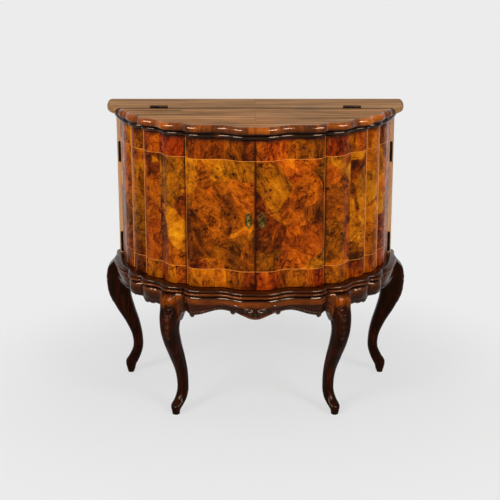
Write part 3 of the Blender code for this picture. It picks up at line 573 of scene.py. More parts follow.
def makeCarvedWood(name, roughness, gloss, place, axis, stretch):
    # polished brown wood that turns nearly black where the stainAndShade value is high, which holds the dark
    # stain of the carving and painted shade, with worn ridges
    s = carvedWood
    finish, tree = newPolish(name, roughness, gloss)
    tone, made = layered(tree, stretched(tree, place(tree), axis, stretch), axis, s["grain"])
    tone, clouds = layered(tree, objectPlace(tree), axis, s["cloud"], tone)
    cloud = clouds["cloud"]
    stainAndShade = swing(tree, cloud, s["uneven"], attribute(tree, "stainAndShade"), clamp=True)
    colour = mixed(tree, stainAndShade, ramp(tree, tone, s["light"]), ramp(tree, tone, s["dark"]))
    ridge = between(tree, attribute(tree, "ridge"), *s["wearFrom"])
    colour = mixed(tree, times(tree, ridge, between(tree, cloud, *s["wearPatches"])), colour, s["wear"])
    polish = between(tree, cloud, 0.25, 0.75, *(roughness * share for share in s["polish"]))
    height = added(tree, cloud, 0.6, times(tree, made["fine"], 0.4))
    return dressed(finish, colour, polish, height, s["bump"])


ebonised = {
    "roughness": 0.12, "gloss": 0.18, "bump": (0.08, 0.001),
    "grain": {"grain": (0.1, 150.0, 4.0, 0.6, 0.0, 0.5)}, "rub": {"rub": (1.0, 22.0, 3.0, 0.6, 0.0, 0.5)},
    "tones": ((0.3, 13, 6, 3), (0.52, 31, 14, 6), (0.75, 102, 43, 14)),
}


def makeEbonised():
    # black stain with the grain just showing, browner where the swells are rubbed
    s = ebonised
    finish, tree = newPolish("ebonised_polish", s["roughness"], s["gloss"])
    tone, made = layered(tree, runPlace(tree), 0, s["grain"])
    tone = layered(tree, objectPlace(tree), 0, s["rub"], tone)[0]
    return dressed(finish, ramp(tree, tone, s["tones"]), None, made["grain"], s["bump"])


mirrorLook = {
    "fox": (14.0, 5.0, 0.65), "foxRange": (0.58, 0.78), "polish": (0.03, 0.21),
    "silver": shade(222, 224, 222), "foxed": shade(176, 166, 148),
}
glassLook = {
    "smear": (11.0, 3.0, 0.6), "polish": (0.4, 0.8, 0.01, 0.06), "roughness": 0.02,
    "clear": shade(226, 240, 232), "smeared": shade(240, 248, 244),
}


def makeMirror():
    # silver, a little foxed: faint darker clouds and rougher spots
    s = mirrorLook
    finish, tree = newFinish("aged_mirror", s["polish"][0], Metallic=1.0)
    fox = between(tree, noise(tree, objectPlace(tree), *s["fox"]), *s["foxRange"])
    return dressed(finish, mixed(tree, fox, s["silver"], s["foxed"]), blend(tree, fox, *s["polish"]))


def makeGlass():
    # clear glass with a trace of green and faint smears
    s = glassLook
    finish, tree = newFinish("shelf_glass", s["roughness"], Transmission_Weight=1.0, IOR=1.5)
    smear = noise(tree, objectPlace(tree), *s["smear"])
    return dressed(finish, mixed(tree, smear, s["clear"], s["smeared"]), between(tree, smear, *s["polish"]))


patchFinish = makeVeneer()
topFinish = makeTopVeneer()
rimFinish = makeRimVeneer()
mouldingFinish = makeCarvedWood("moulding_walnut", 0.12, 0.16, runPlace, 0, 0.08)
legFinish = makeCarvedWood("leg_walnut", 0.16, 0.045, objectPlace, 2, 0.1)
beadFinish = makeEbonised()
paleUpright = makeGrain("pale_upright", paleTones, 2, 0.42)
paleLevel = makeGrain("pale_level", paleTones, 0, 0.42)
walnutLevel = makeGrain("walnut_level", walnutTones, 0, 0.35)
walnutUpright = makeGrain("walnut_upright", walnutTones, 2, 0.35)
darkLevel = makeGrain("dark_level", darkTones, 0, 0.35)
darkUpright = makeGrain("dark_upright", darkTones, 2, 0.4, gloss=0.04)
brassFinish = makeMetal("old_brass", brassTones, 0.36)
ironFinish = makeMetal("black_iron", ironTones, 0.5)
mirrorFinish = makeMirror()
glassFinish = makeGlass()
print("finishes made")

# doors: the plan carried up, with cross bands, stringing and a seam at each crease
doorShape = {
    "thickness": 0.020, "roundEdge": 0.0014, "step": 0.35, "endGap": 0.1,
    "drawnIn": (77.0, 7.0, 0.006),  # the flank stands back, so that the rear post shows
    "lowString": 0.491, "highString": 0.834, "stringWidth": 0.0012,
    "meetingGap": 0.0016, "meetingShadeWidth": 0.0038, "nearMeeting": (0.08, 0.16, 0.25),
    "seams": (28.6, 41.0, 50.8, 60.8, 68.0), "seeds": (11.0, 23.3, 37.7),  # right door, low band, high band
    # upright strings beside the creases: pale stringing, bright and wide enough to stand in for the
    # highlight on the crease edges too, a painted highlight
    "stringsAndGlints": ((27.95, 28.2), (50.66, 50.97), (60.5, 61.15), (67.86, 68.24)),
    # painted shade: its width along the seam between the doors, and for each crease its angle, width and
    # strength; the flanks and the band under the bead are darkened too
    "creaseShades": ((28.6, 0.0042, 1.0), (50.8, 0.003, 0.6), (60.8, 0.003, 0.6), (68.0, 0.0025, 0.5)),
    "flankShade": 0.2, "flankFrom": (24.0, 60.0), "underBead": 0.013, "beadShade": 0.85,
    "stop": (-0.004, 0.0036, 0.0026), "stopGap": 0.0005, "stopShort": 0.001,
}


def makeDoor(side, word):
    # section of the door: outer face with thin strips for the stringing, rounded edges, flat inner face
    s = doorShape
    low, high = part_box("door_" + word)
    r, t, w = s["roundEdge"], s["thickness"], s["stringWidth"] / 2
    bevel = 0.3 * r  # middle of a rounding
    lowLine, highLine = s["lowString"], s["highString"]
    section = np.array([
        (-r, low.z), (-bevel, low.z + bevel), (0, low.z + r), (0, lowLine - w), (0, lowLine + w),
        (0, highLine - w), (0, highLine + w), (0, high.z - s["underBead"]), (0, high.z - r),
        (-bevel, high.z - bevel), (-r, high.z), (-t, high.z), (-t, low.z),
    ])
    out, up = section.T
    lowString, highString = 3, 5  # columns with a string above them
    meeting = math.degrees(math.asin(s["meetingGap"] / 2 / planShape["halfWidth"]))
    ends = angleAtDepth(backY - high.y, out)
    stringsAndGlints = np.array(s["stringsAndGlints"])
    extra = np.append(stringsAndGlints.ravel(), meeting + np.array(s["nearMeeting"]))
    angles = denseAngles(meeting, ends.min() - s["endGap"], s["step"], extra)
    grid = np.vstack([np.repeat(angles[:, None], len(section), 1), ends])
    x, y = planAt(grid, out[None, :] - hump(grid, *s["drawnIn"]))
    faceAngle = grid[:, lowString]
    along = arcLength(x[:, lowString], y[:, lowString])
    uv = joined(side * along[:, None], np.append(up, up[0]))
    middle = (faceAngle[1:] + faceAngle[:-1]) / 2
    heights = (up + np.roll(up, -1)) / 2
    lowBand, highBand = heights < lowLine - w / 2, heights > highLine + w / 2
    rightSeed, lowSeed, highSeed = s["seeds"]
    seed = np.searchsorted(s["seams"], middle)[:, None] + (rightSeed if side > 0 else 0.0)
    seed = seed + lowBand[None, :] * lowSeed + highBand[None, :] * highSeed
    # pale stringing: level strings above two columns, and upright ones beside the creases, which are also a
    # painted highlight on the crease edges
    stringAndGlint = np.zeros((len(middle), len(section)))
    stringAndGlint[:, [lowString, highString]] = 1
    stringAndGlint[((middle[:, None] > stringsAndGlints[:, 0]) & (middle[:, None] < stringsAndGlints[:, 1])).any(1)] = 1
    # painted shade: dark down the seam between the doors, darker on the flanks as they turn away, dark lines
    # in the creases, and a dark band under the bead
    paintedShade = hump(along, 0.0, s["meetingShadeWidth"])
    paintedShade = np.maximum(paintedShade, s["flankShade"] * smoothStep(faceAngle, *s["flankFrom"]))
    for angle, width, depth in s["creaseShades"]:
        paintedShade = np.maximum(paintedShade, hump(along, np.interp(angle, faceAngle, along), width, depth))
    paintedShade = np.maximum(paintedShade[:, None], s["beadShade"] * (up > high.z - 0.5 * s["underBead"])[None, :])
    # the end faces of the door take the dark wood, so that the seam between the doors reads as shade:
    # painted shade
    block = gridBlock(
        joined(side * x, y, up), uv, finish=np.array([0] * 10 + [1, 2, 1])[None, :], capFinish=3,
        pointValues={"paintedShade": paintedShade},
        faceValues={"panelSeed": seed, "bandShare": (lowBand | highBand)[None, :], "lineShare": stringAndGlint},
    )
    finishes = [patchFinish, walnutUpright, paleUpright, darkUpright]
    body, replaced = word + "_door", ["door_" + word]
    makePiece("veneered_door_" + word, body, [block], finishes, replaced, sharp=30)


def makeStop():
    # a thin upright strip of the dark wood behind the meeting edges, on the left door, so that the seam
    # between the doors shows dark, a stand-in for the shade in it: a box with one ring at each end
    s = doorShape
    low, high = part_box("door_left")
    face = low.y + s["thickness"] + s["stopGap"]
    left, right, deep = s["stop"]
    x = np.array((left, right, right, left))
    y = np.array((face, face, face + deep, face + deep))
    ends = np.array((low.z + s["stopShort"], high.z - s["stopShort"]))
    block = gridBlock(joined(x, y, ends[:, None]))
    makePiece("meeting_stop", "left_door", [block], [darkUpright])


for side, word in sides:
    makeDoor(side, word)
makeStop()
print("doors made")

# top: the lid and the strip behind it, with one rounded edge
topShape = {
    "overhang": 0.024, "step": 0.4, "endGap": 0.1, "hingeTuck": 0.003, "stripRows": 30,
    "edge": (
        (-0.006, 0), (-0.0015, 0.0025), (0, 0.0085), (-0.0012, 0.0145), (-0.0055, 0.0195), (-0.012, 0.0218),
    ),
    "edgeSteps": 15, "flats": (-0.010, -0.016), "edgeRun": (0.0, 0.05), "farRun": (0.3, 0.35),
}


def topEdge(height):
    # rounded nose from the underside to the top, a smooth curve, with a flat step at each end for shading
    nose = smoothCurve(topShape["edge"], topShape["edgeSteps"])
    nose = nose * (1, height / nose[-1, 1])
    lowFlat, highFlat = topShape["flats"]
    return np.vstack([(lowFlat, 0), nose, (highFlat, height)]) + (topShape["overhang"], 0)


def makeLid():
    # rows follow the plan; each goes from the straight hinge line over the top, round the nose and back
    s = topShape
    low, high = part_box("lid")
    edge = topEdge(high.z - low.z)[::-1]
    ends = angleAtDepth(backY - high.y, edge[:, 0], topWave)
    reach = ends.min() - s["endGap"]
    middle = denseAngles(-reach, reach, s["step"])
    grid = np.vstack([-ends, np.repeat(middle[:, None], len(edge), 1), ends])
    x, y = planAt(grid, edge[None, :, 0], topWave)
    nose = joined(x, y, low.z + edge[:, 1])
    along = arcLength(x[:, len(edge) // 2], y[:, len(edge) // 2])
    hingeX = np.interp(along, (0, along[-1]), (-1, 1)) * (nose[-1, 0, 0] - s["hingeTuck"])
    hinge = [joined(hingeX, high.y, height)[:, None] for height in (high.z, low.z)]
    points = np.concatenate([hinge[0], nose, hinge[1]], 1)
    uv = joined(along[:, None], np.linspace(*s["edgeRun"], points.shape[1] + 1))
    finish = np.ones(points.shape[1], int)
    finish[:2] = 0
    finish[-2:] = 2
    block = gridBlock(points, uv, finish[None, :], capFinish=1)
    finishes = [topFinish, rimFinish, walnutLevel]
    makePiece("veneered_lid", "lid", [block], finishes, ["lid"], sharp=30)


def makeStrip():
    # rows at each distance from the wall; each is one slice across the strip, with the nose at both ends
    s = topShape
    low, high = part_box("top_strip")
    edge = topEdge(high.z - low.z)
    depths = np.linspace(backY - high.y, backY - low.y, s["stripRows"])
    angles = np.stack([angleAtDepth(depth, edge[:, 0], topWave) for depth in depths])
    x = planAt(angles, edge[None, :, 0], topWave)[0]
    right = joined(x, (backY - depths)[:, None], low.z + edge[:, 1])
    points = np.concatenate([right, right[:, ::-1] * (-1, 1, 1)], 1)
    run = np.append(np.linspace(*s["edgeRun"], len(edge)), np.linspace(*s["farRun"], len(edge) + 1))
    finish = np.zeros(2 * len(edge), int)
    finish[-1] = 1
    block = gridBlock(points, joined(depths[:, None], run), finish[None, :], capFinish=0)
    finishes = [topFinish, walnutLevel]
    makePiece("veneered_strip", "frame", [block], finishes, ["top_strip"], sharp=30)


makeLid()
makeStrip()
print("top made")

# mouldings that run round the plan
beadShape = {
    "inner": -0.006, "step": 0.4, "reach": 89.0, "endGap": 0.05, "noseSteps": 17,
    "nose": (
        (0.003, 0.0), (0.009, 0.003), (0.012, 0.008), (0.0105, 0.0125), (0.0075, 0.0155), (0.0085, 0.0185),
        (0.009, 0.020),
    ),
}
baseShape = {
    "inner": -0.008, "proud": 0.027, "step": 0.4, "reach": 89.9, "endGap": 0.05,
    "lip": (
        (-0.013, 0.0), (-0.0062, 0.0003), (-0.0022, 0.0016), (-0.0004, 0.0044), (-0.0016, 0.0071),
        (-0.0056, 0.009),
    ),
    "roll": (
        (-0.0108, 0.0098), (-0.005, 0.0106), (-0.0018, 0.0138), (-0.0024, 0.0174), (-0.007, 0.0203),
        (-0.016, 0.0215),
    ),
    "lipSteps": 14, "rollSteps": 16,
    # painted light on the front of the lip and the top of the roll
    "lipLight": 0.56, "lipWindow": (0.02, 0.12, 0.36, 0.44), "rollLight": 0.14, "rollFrom": (0.5, 0.62),
    "lipWear": (0.33, 0.06, 0.5), "endWear": 0.9, "endFrom": (78.0, 84.0),
}


def creaseShare(angles):
    # 1 in the sharp creases of the plan, fading out on both sides; the mouldings and aprons darken by it,
    # painted shade
    creases = knots[knots[:, creaseMark] > 0, 0]
    return np.max([hump(np.abs(angles), crease, planShape["creaseHalf"]) for crease in creases], 0)


def sweep(node, s, curve):
    # a curve of (out, height), closed by a flat inner face and carried along the plan; the two ends are cut
    # square at the depth of the solid's back
    low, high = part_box(node)
    profile = np.vstack([(s["inner"], 0), curve, (s["inner"], high.z - low.z)])
    out, up = profile.T
    ends = angleAtDepth(backY - high.y, out)
    angles = denseAngles(-s["reach"], s["reach"], s["step"])
    middle = angles[np.abs(angles) < ends.min() - s["endGap"]]
    grid = np.vstack([-ends, np.repeat(middle[:, None], len(out), 1), ends])
    x, y = planAt(grid, out)
    along = arcLength(x[:, len(out) // 2], y[:, len(out) // 2])
    across = arcLength(np.append(out, out[0]), np.append(up, up[0]))
    return joined(x, y, low.z + up), joined(along[:, None], across), grid, up / (high.z - low.z)


def makeBead():
    # ebonised bead under the lid: a quarter round with a small neck
    low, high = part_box("bead_moulding")
    nose = smoothCurve(beadShape["nose"], beadShape["noseSteps"])
    nose = nose * (1, (high.z - low.z) / nose[-1, 1])
    block = gridBlock(*sweep("bead_moulding", beadShape, nose)[:2])
    makePiece("ebonised_bead", "frame", [block], [beadFinish], ["bead_moulding"])


def makeBase():
    # base moulding: a rounded lip below, a quirk, and a roll above that fades into the platform
    s = baseShape
    curve = np.vstack([smoothCurve(s["lip"], s["lipSteps"]), smoothCurve(s["roll"], s["rollSteps"])])
    points, uv, grid, rise = sweep("base_moulding", s, curve + (s["proud"], 0))
    # painted light and shade: lighter on the front of the lip and a little on top of the roll, darker under
    # the lip, in the quirk and in the creases
    lip, roll = window(rise, *s["lipWindow"]), smoothStep(rise, *s["rollFrom"])
    stainAndShade = np.maximum((1 - s["lipLight"] * lip - s["rollLight"] * roll)[None, :], creaseShare(grid))
    ends = s["endWear"] * smoothStep(np.abs(grid), *s["endFrom"])
    values = {"stainAndShade": stainAndShade, "ridge": np.maximum(hump(rise, *s["lipWear"])[None, :], ends)}
    block = gridBlock(points, uv, pointValues=values)
    makePiece("base_roll", "frame", [block], [mouldingFinish], ["base_moulding"])


makeBead()
makeBase()
print("mouldings made")

# aprons: a swelling face, a rolled lower edge with leaf work, a shell in the middle
apronShape = {
    "face": 0.006, "swell": 0.015, "bulge": 0.56, "foot": 0.5, "thickness": 0.022, "rows": 60, "step": 0.14,
    "legAngle": 35.0, "tuckFront": 2.2, "tuckSide": 2.6, "sideEnd": 87.4, "fadeTop": 0.006,
    "under": ((0.005, -0.0002), (-0.004, -0.0004)),  # out from the face, lift, below the edge
    "faceRun": 0.08, "innerRun": (0.09, 0.1, 0.11, 0.18, 0.2),
    "drop": (
        (0, 0.068), (8.5, 0.047), (13, 0.0455), (24.6, 0.064), (27.8, 0.06), (29.5, 0.0665), (32, 0.103),
        (35, 0.105), (36.5, 0.054), (40, 0.054), (49, 0.056), (51.5, 0.05), (60, 0.049), (75, 0.05),
        (90, 0.056),
    ),
    "lobes": (43.0, 54.5), "lobeHalf": 3.4, "lobeHeight": 0.0085, "lobeSag": 1.4,
    "scallopCentre": 44.2, "scallopHalf": 5.2, "scallopFade": 1.0, "scallopPitch": 3.1,
    "scallopDrop": 0.0048, "scallopBlunt": 0.6,
    # painted light and shade on the face: dark just under the base, a lighter band below, darker where the
    # face turns down; a painted highlight near 23 degrees on the front and on the bulge of the sides. The
    # sides are also darker all over
    "lightFrom": (0.007, 0.014), "lightTo": (0.021, 0.031), "lowShade": 0.95, "fullWear": 0.0036,
    "frontTone": 0.34, "frontLight": (23.0, 3.5), "sideTone": 0.86, "sideLight": (0.013, 0.005, 0.5),
    "bracketLight": 0.4, "bracketFrom": (28.5, 31.0),
    "lipLight": (0.004, 0.003, 0.7), "lipReach": (0.03, 0.05),
}
carving = {
    "roll": (0.0048, 0.0030, 0.0030), "groove": (0.0120, 0.0021, 0.0018),  # rise, half width, height
    "leafPitch": 0.0092, "leafCut": 0.28, "leafSlant": 420.0, "darkTo": (0.008, 0.013),
    "shellTop": 0.036, "shellSquash": 0.78, "shellRibs": 11, "shellHalf": (0.064, 0.021),
    "shellMiddle": 0.014, "shellFade": (0.82, 1.0), "underShell": 0.6,
    "ribHeight": 0.0042, "ribBlunt": 0.7, "ribReach": (0.004, 0.012, 0.026, 0.031), "ribGround": 0.0012,
    "boss": (0.0, 0.0062, 0.0036), "frill": (0.0305, 0.0022, 0.0030), "frillCut": 0.3,
    "armStart": 0.034, "armLength": 0.05, "armRise": 0.012, "armArch": 0.013, "armHalf": 0.0024,
    "armHeight": 0.0026, "armReach": (0.03, 0.042, 0.078, 0.09), "armDark": 0.0024,
}
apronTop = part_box("front_apron")[1].z
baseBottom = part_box("base_moulding")[0].z


def apronLow(angles):
    # lower edge: the underside of the base less the drop, eased between its rows
    return baseBottom - eased(apronShape["drop"], np.abs(angles))


def scallopDrop(angles):
    # three rounded tongues under the first lobe of a side apron: a rectified cosine inside a soft window
    s = apronShape
    off = np.abs(angles) - s["scallopCentre"]
    inside = 1 - smoothStep(np.abs(off), s["scallopHalf"] - s["scallopFade"], s["scallopHalf"])
    return s["scallopDrop"] * inside * np.abs(np.cos(np.pi * off / s["scallopPitch"])) ** s["scallopBlunt"]


def apronCarving(along, rise, shell):
    # roll along the edge cut into leaves, a groove over it; in the middle ribs that fan out from a boss
    s = carving
    slant = rise * s["leafSlant"] * np.where(along < 0, -1, 1)
    leaf = 1 - s["leafCut"] + s["leafCut"] * np.cos(2 * np.pi * along / s["leafPitch"] + slant)
    height = hump(rise, *s["roll"]) * leaf - hump(rise, *s["groove"])
    dark = 1 - smoothStep(rise, *s["darkTo"])
    if shell:
        away = np.abs(along)
        downward, sideways = s["shellTop"] - rise, along * s["shellSquash"]
        radius, bearing = np.hypot(sideways, downward), np.arctan2(sideways, downward)
        halfWide, halfHigh = s["shellHalf"]
        oval = np.hypot(along / halfWide, (rise - s["shellMiddle"]) / halfHigh)
        inside = 1 - smoothStep(oval, *s["shellFade"])
        ribs = np.abs(np.cos(bearing * s["shellRibs"] / 2)) ** s["ribBlunt"]
        fan = s["ribHeight"] * ribs * window(radius, *s["ribReach"]) - s["ribGround"]
        notches = 1 - s["frillCut"] + s["frillCut"] * np.cos(bearing * s["shellRibs"])
        fan = fan + hump(radius, *s["boss"]) + hump(radius, *s["frill"]) * notches
        arch = np.sin(np.pi * np.clip((away - s["armStart"]) / s["armLength"], 0, 1))
        arms = hump(rise, s["armRise"] + s["armArch"] * arch, s["armHalf"], s["armHeight"])
        arms = arms * window(away, *s["armReach"])
        height = height * (1 - inside * s["underShell"]) + inside * fan + arms
        dark = np.maximum(np.maximum(dark, inside), np.clip(arms / s["armDark"], 0, 1))
    return height, dark


def makeApron(name, replaced, angles, shell):
    # rows along the plan, columns down the swelling face, under the edge and up the flat inner face
    s = apronShape
    top = apronTop
    low = apronLow(angles) if shell else apronLow(angles) - scallopDrop(angles)
    turned = np.abs(angles)
    share = np.linspace(0, 1, s["rows"])
    z = top + (low - top)[:, None] * share[None, :]
    bow = np.sin(np.pi * share ** s["bulge"])
    form = np.where(share ** s["bulge"] < 0.5, bow, s["foot"] + (1 - s["foot"]) * bow)
    along = arcLength(*planAt(angles, s["face"]))
    along = along - np.interp(0.0, angles, along) if shell else along
    rise = z - low[:, None]
    height, dark = apronCarving(along[:, None], rise, shell)
    worn = np.clip(height / s["fullWear"], 0, 1)
    if not shell:
        lobes = np.max([hump(turned, centre, s["lobeHalf"]) for centre in s["lobes"]], 0)
        height = height + s["lobeHeight"] * lobes[:, None] * np.sin(np.pi * share ** s["lobeSag"])[None, :]
    height = height * (1 - smoothStep(z, top - s["fadeTop"], top))
    out = s["face"] + s["swell"] * form[None, :] + height
    face = joined(*planAt(np.repeat(angles[:, None], s["rows"], 1), out), z)
    inner = s["face"] - s["thickness"]
    edges = [(s["face"] + out, low + lift) for out, lift in s["under"]]
    edges += [(inner, low + s["under"][-1][1]), (inner, top)]
    columns = [joined(*planAt(angles, out), level)[:, None] for out, level in edges]
    # painted light and shade: dark just under the base, a lighter band below it, darker again where the face
    # turns down; on the front the band is lightest near 23 degrees and on the sides a lighter band lies on
    # the bulge, both painted highlights; darker in the creases, painted shade. The side aprons are also
    # darker all over
    depth = baseBottom - z
    lowShade = s["lowShade"] * smoothStep(depth, *s["lightTo"])
    shaded = np.maximum(1 - smoothStep(depth, *s["lightFrom"]), lowShade)
    if shell:
        shaded = np.maximum(shaded, s["frontTone"] * (1 - hump(turned, *s["frontLight"])[:, None]))
    else:
        shaded = np.maximum(shaded, s["sideTone"]) * (1 - hump(depth, *s["sideLight"]))
    dark = np.maximum(np.maximum(dark, shaded), creaseShare(angles)[:, None])
    if shell:
        dark = dark * (1 - s["bracketLight"] * smoothStep(turned, *s["bracketFrom"]))[:, None]
        nearMiddle = 1 - smoothStep(np.abs(along), *s["lipReach"])
        dark = dark * (1 - hump(rise, *s["lipLight"]) * nearMiddle[:, None])
    pad = [(0, 0), (0, len(columns))]
    values = {"stainAndShade": np.pad(dark, pad, constant_values=1.0), "ridge": np.pad(worn, pad)}
    uv = joined(along[:, None], np.append(np.linspace(0, s["faceRun"], s["rows"]), s["innerRun"]))
    block = gridBlock(np.concatenate([face, *columns], 1), uv, pointValues=values)
    makePiece(name, "frame", [block], [mouldingFinish], [replaced], sharp=50)


frontEnd = apronShape["legAngle"] - apronShape["tuckFront"]
sideStart = apronShape["legAngle"] + apronShape["tuckSide"]
makeApron("carved_front_apron", "front_apron", denseAngles(-frontEnd, frontEnd, apronShape["step"]), True)
for side, word in sides:
    run = denseAngles(sideStart, apronShape["sideEnd"], apronShape["step"])
    makeApron("carved_side_apron_" + word, "side_apron_" + word, side * run, False)

dropShape = {
    "clusters": ((8.7, 1.0), (24.8, 1.0), (44.2, 0.66), (55.5, 0.55)),  # degrees from the front, size
    "leaves": (  # lean, length
        (-80, 0.0050), (-54, 0.0062), (-27, 0.0074), (0, 0.0084), (27, 0.0074), (54, 0.0062), (80, 0.0050),
    ),
    "width": 0.0030, "depth": 0.0046, "out": 0.0095, "rise": 0.0035, "hang": 0.75, "wear": 0.8,
    "rings": 9, "sides": 10, "lastRing": 84,
}


def makeDrops(side, word):
    # small leaves under the apron: each one an ellipsoid, long axis fanned round the middle of its cluster
    s = dropShape
    latitude = np.radians(np.linspace(-s["lastRing"], s["lastRing"], s["rings"]))[:, None]
    turn = np.linspace(0, 2 * np.pi, s["sides"], endpoint=False)[None, :]
    ball = joined(np.sin(latitude), np.cos(latitude) * np.cos(turn), np.cos(latitude) * np.sin(turn))
    values = {"stainAndShade": 1.0, "ridge": np.clip(ball[..., 2], 0, 1) * s["wear"]}
    blocks = []
    for angle, size in s["clusters"]:
        at = np.array([side * angle])
        nx, ny = planNormal(side * angle)
        outwards = np.array((nx, ny, 0.0))
        across = np.array((-ny, nx, 0.0))
        edge = joined(*planAt(at, s["out"]), apronLow(at) + s["rise"])[0]
        for lean, length in s["leaves"]:
            lean = math.radians(lean)
            axis = across * math.sin(lean) - np.array((0, 0, math.cos(lean)))
            axes = np.stack([axis, np.cross(axis, outwards), outwards])
            sizes = np.array((length, s["width"], s["depth"])) * size
            points = edge + axis * length * size * s["hang"] + (ball * sizes) @ axes
            blocks.append(gridBlock(points, pointValues=values))
    makePiece("leaf_drops_" + word, "frame", blocks, [mouldingFinish], sharp=80)


for side, word in sides:
    makeDrops(side, word)
print("aprons made")

# legs: rounded sections on an S, with a carved knee
legShape = {
    "angles": {"front_leg_left": -35, "front_leg_right": 35, "rear_leg_left": -90, "rear_leg_right": 90},
    "rearDepth": 0.031, "rings": 260, "sides": 112, "bend": 1.4,
    # overlay: how dark the leg's wood is all over, before the knee is lightened
    "front": {
        "sweep": 0.030, "relief": 1.0, "edge": 1.0, "light": 0.9, "overlay": 1.04,
        "stations": (  # share of height, offset outwards, half size outwards, half size across, squareness
            (0.0, -0.0124, 0.0110, 0.0108, 2.4), (0.03, -0.0121, 0.0138, 0.0128, 2.3),
            (0.065, -0.0185, 0.0202, 0.0175, 2.2), (0.1, -0.0355, 0.0187, 0.0176, 2.2),
            (0.15, -0.0475, 0.0174, 0.0170, 2.2), (0.22, -0.0496, 0.0172, 0.0167, 2.3),
            (0.32, -0.0427, 0.0187, 0.0185, 2.4), (0.45, -0.0216, 0.0238, 0.0218, 2.5),
            (0.58, 0.0020, 0.0285, 0.0232, 2.6), (0.7, 0.0155, 0.0330, 0.0242, 2.6),
            (0.8, 0.0108, 0.0377, 0.0281, 2.7), (0.87, 0.0040, 0.0385, 0.0295, 2.8),
            (0.94, 0.0020, 0.0370, 0.0305, 3.0), (1.0, -0.0120, 0.0300, 0.0305, 3.4),
        ),
    },
    "rear": {
        "sweep": -0.0155, "relief": 0.5, "edge": 0.0, "light": 0.12, "overlay": 1.4,
        "stations": (
            (0.0, -0.0245, 0.0098, 0.0110, 2.4), (0.03, -0.0252, 0.0136, 0.0134, 2.3),
            (0.065, -0.0254, 0.0170, 0.0151, 2.2), (0.1, -0.0291, 0.0206, 0.0154, 2.2),
            (0.15, -0.0395, 0.0193, 0.0155, 2.2), (0.22, -0.0500, 0.0170, 0.0165, 2.3),
            (0.32, -0.0503, 0.0171, 0.0190, 2.4), (0.45, -0.0361, 0.0226, 0.0220, 2.5),
            (0.58, -0.0133, 0.0302, 0.0245, 2.6), (0.7, 0.0029, 0.0355, 0.0265, 2.8),
            (0.8, 0.0062, 0.0386, 0.0288, 3.2), (0.87, 0.0050, 0.0390, 0.0299, 4.0),
            (0.94, 0.0020, 0.0370, 0.0305, 6.0), (1.0, -0.0120, 0.0300, 0.0305, 6.0),
        ),
    },
    "facing": (0.0, 0.4), "plainTop": (0.94, 0.99), "lightFrom": (0.345, 0.385),
    "edgeTurn": (1.95, 0.09), "edgeReach": (0.04, 0.1, 0.8, 0.88), "edgeHeight": 0.0014, "edgeWear": 0.7,
}
kneeShape = {
    "ovalHeight": 0.351, "ovalHalf": (0.0135, 0.0175), "ovalShift": 0.012, "darkTo": (1.1, 1.4),
    "bossHeight": 0.0040, "bossSize": 0.6, "bossBlunt": 0.6,
    "grooves": ((0.68, 0.08, 0.0018), (1.16, 0.12, 0.0012)),
    "beads": (0.9, 0.14), "beadHeight": 0.0028, "beadCount": 13, "beadCut": 0.4,
    "husks": (  # height, half length, half width
        (0.325, 0.0125, 0.0150), (0.303, 0.0120, 0.0130), (0.283, 0.0110, 0.0105), (0.265, 0.0090, 0.0075),
    ),
    "huskTaper": 0.34, "huskLeast": 0.2, "huskHeight": 0.0036, "huskRibs": 1500.0, "huskCut": 0.3,
    "huskWear": 0.75,
}


def hermite(stations, shares):
    # cubic between stations, slopes from the neighbours
    table = np.asarray(stations, float)
    heights, values = table[:, 0], table[:, 1:]
    slopes = np.gradient(values, heights, axis=0)
    i, t = spanOf(heights, shares)
    step, t = (heights[i + 1] - heights[i])[:, None], t[:, None]
    start = (1 + 2 * t) * (1 - t) ** 2 * values[i] + t * (1 - t) ** 2 * step * slopes[i]
    return start + t * t * (3 - 2 * t) * values[i + 1] + t * t * (t - 1) * step * slopes[i + 1]


def kneeCarving(height, over):
    # an oval boss in a beaded frame on the knee, and four ribbed husks below it, each half an ellipsoid
    s = kneeShape
    halfWide, halfHigh = s["ovalHalf"]
    up, wide = (height - s["ovalHeight"]) / halfHigh, over / halfWide
    ring, bearing = np.hypot(up, wide), np.arctan2(wide, up)
    beads = hump(ring, *s["beads"]) * (1 - s["beadCut"] + s["beadCut"] * np.cos(bearing * s["beadCount"]))
    relief = s["bossHeight"] * np.clip(1 - (ring / s["bossSize"]) ** 2, 0, 1) ** s["bossBlunt"]
    relief = relief + s["beadHeight"] * beads - sum(hump(ring, *groove) for groove in s["grooves"])
    dark, worn = 1 - smoothStep(ring, *s["darkTo"]), beads
    ribs = s["huskHeight"] * (1 - s["huskCut"] + s["huskCut"] * np.cos(over * s["huskRibs"]))
    for centre, tall, broad in s["husks"]:
        drop = (height - centre) / tall
        narrow = np.clip(1 - s["huskTaper"] + s["huskTaper"] * drop, s["huskLeast"], 1)
        form = np.clip(1 - drop ** 2 - (over / (broad * narrow)) ** 2, 0, 1) ** 0.5
        relief = relief + ribs * form
        worn = np.maximum(worn, s["huskWear"] * form)
    return relief, dark, worn


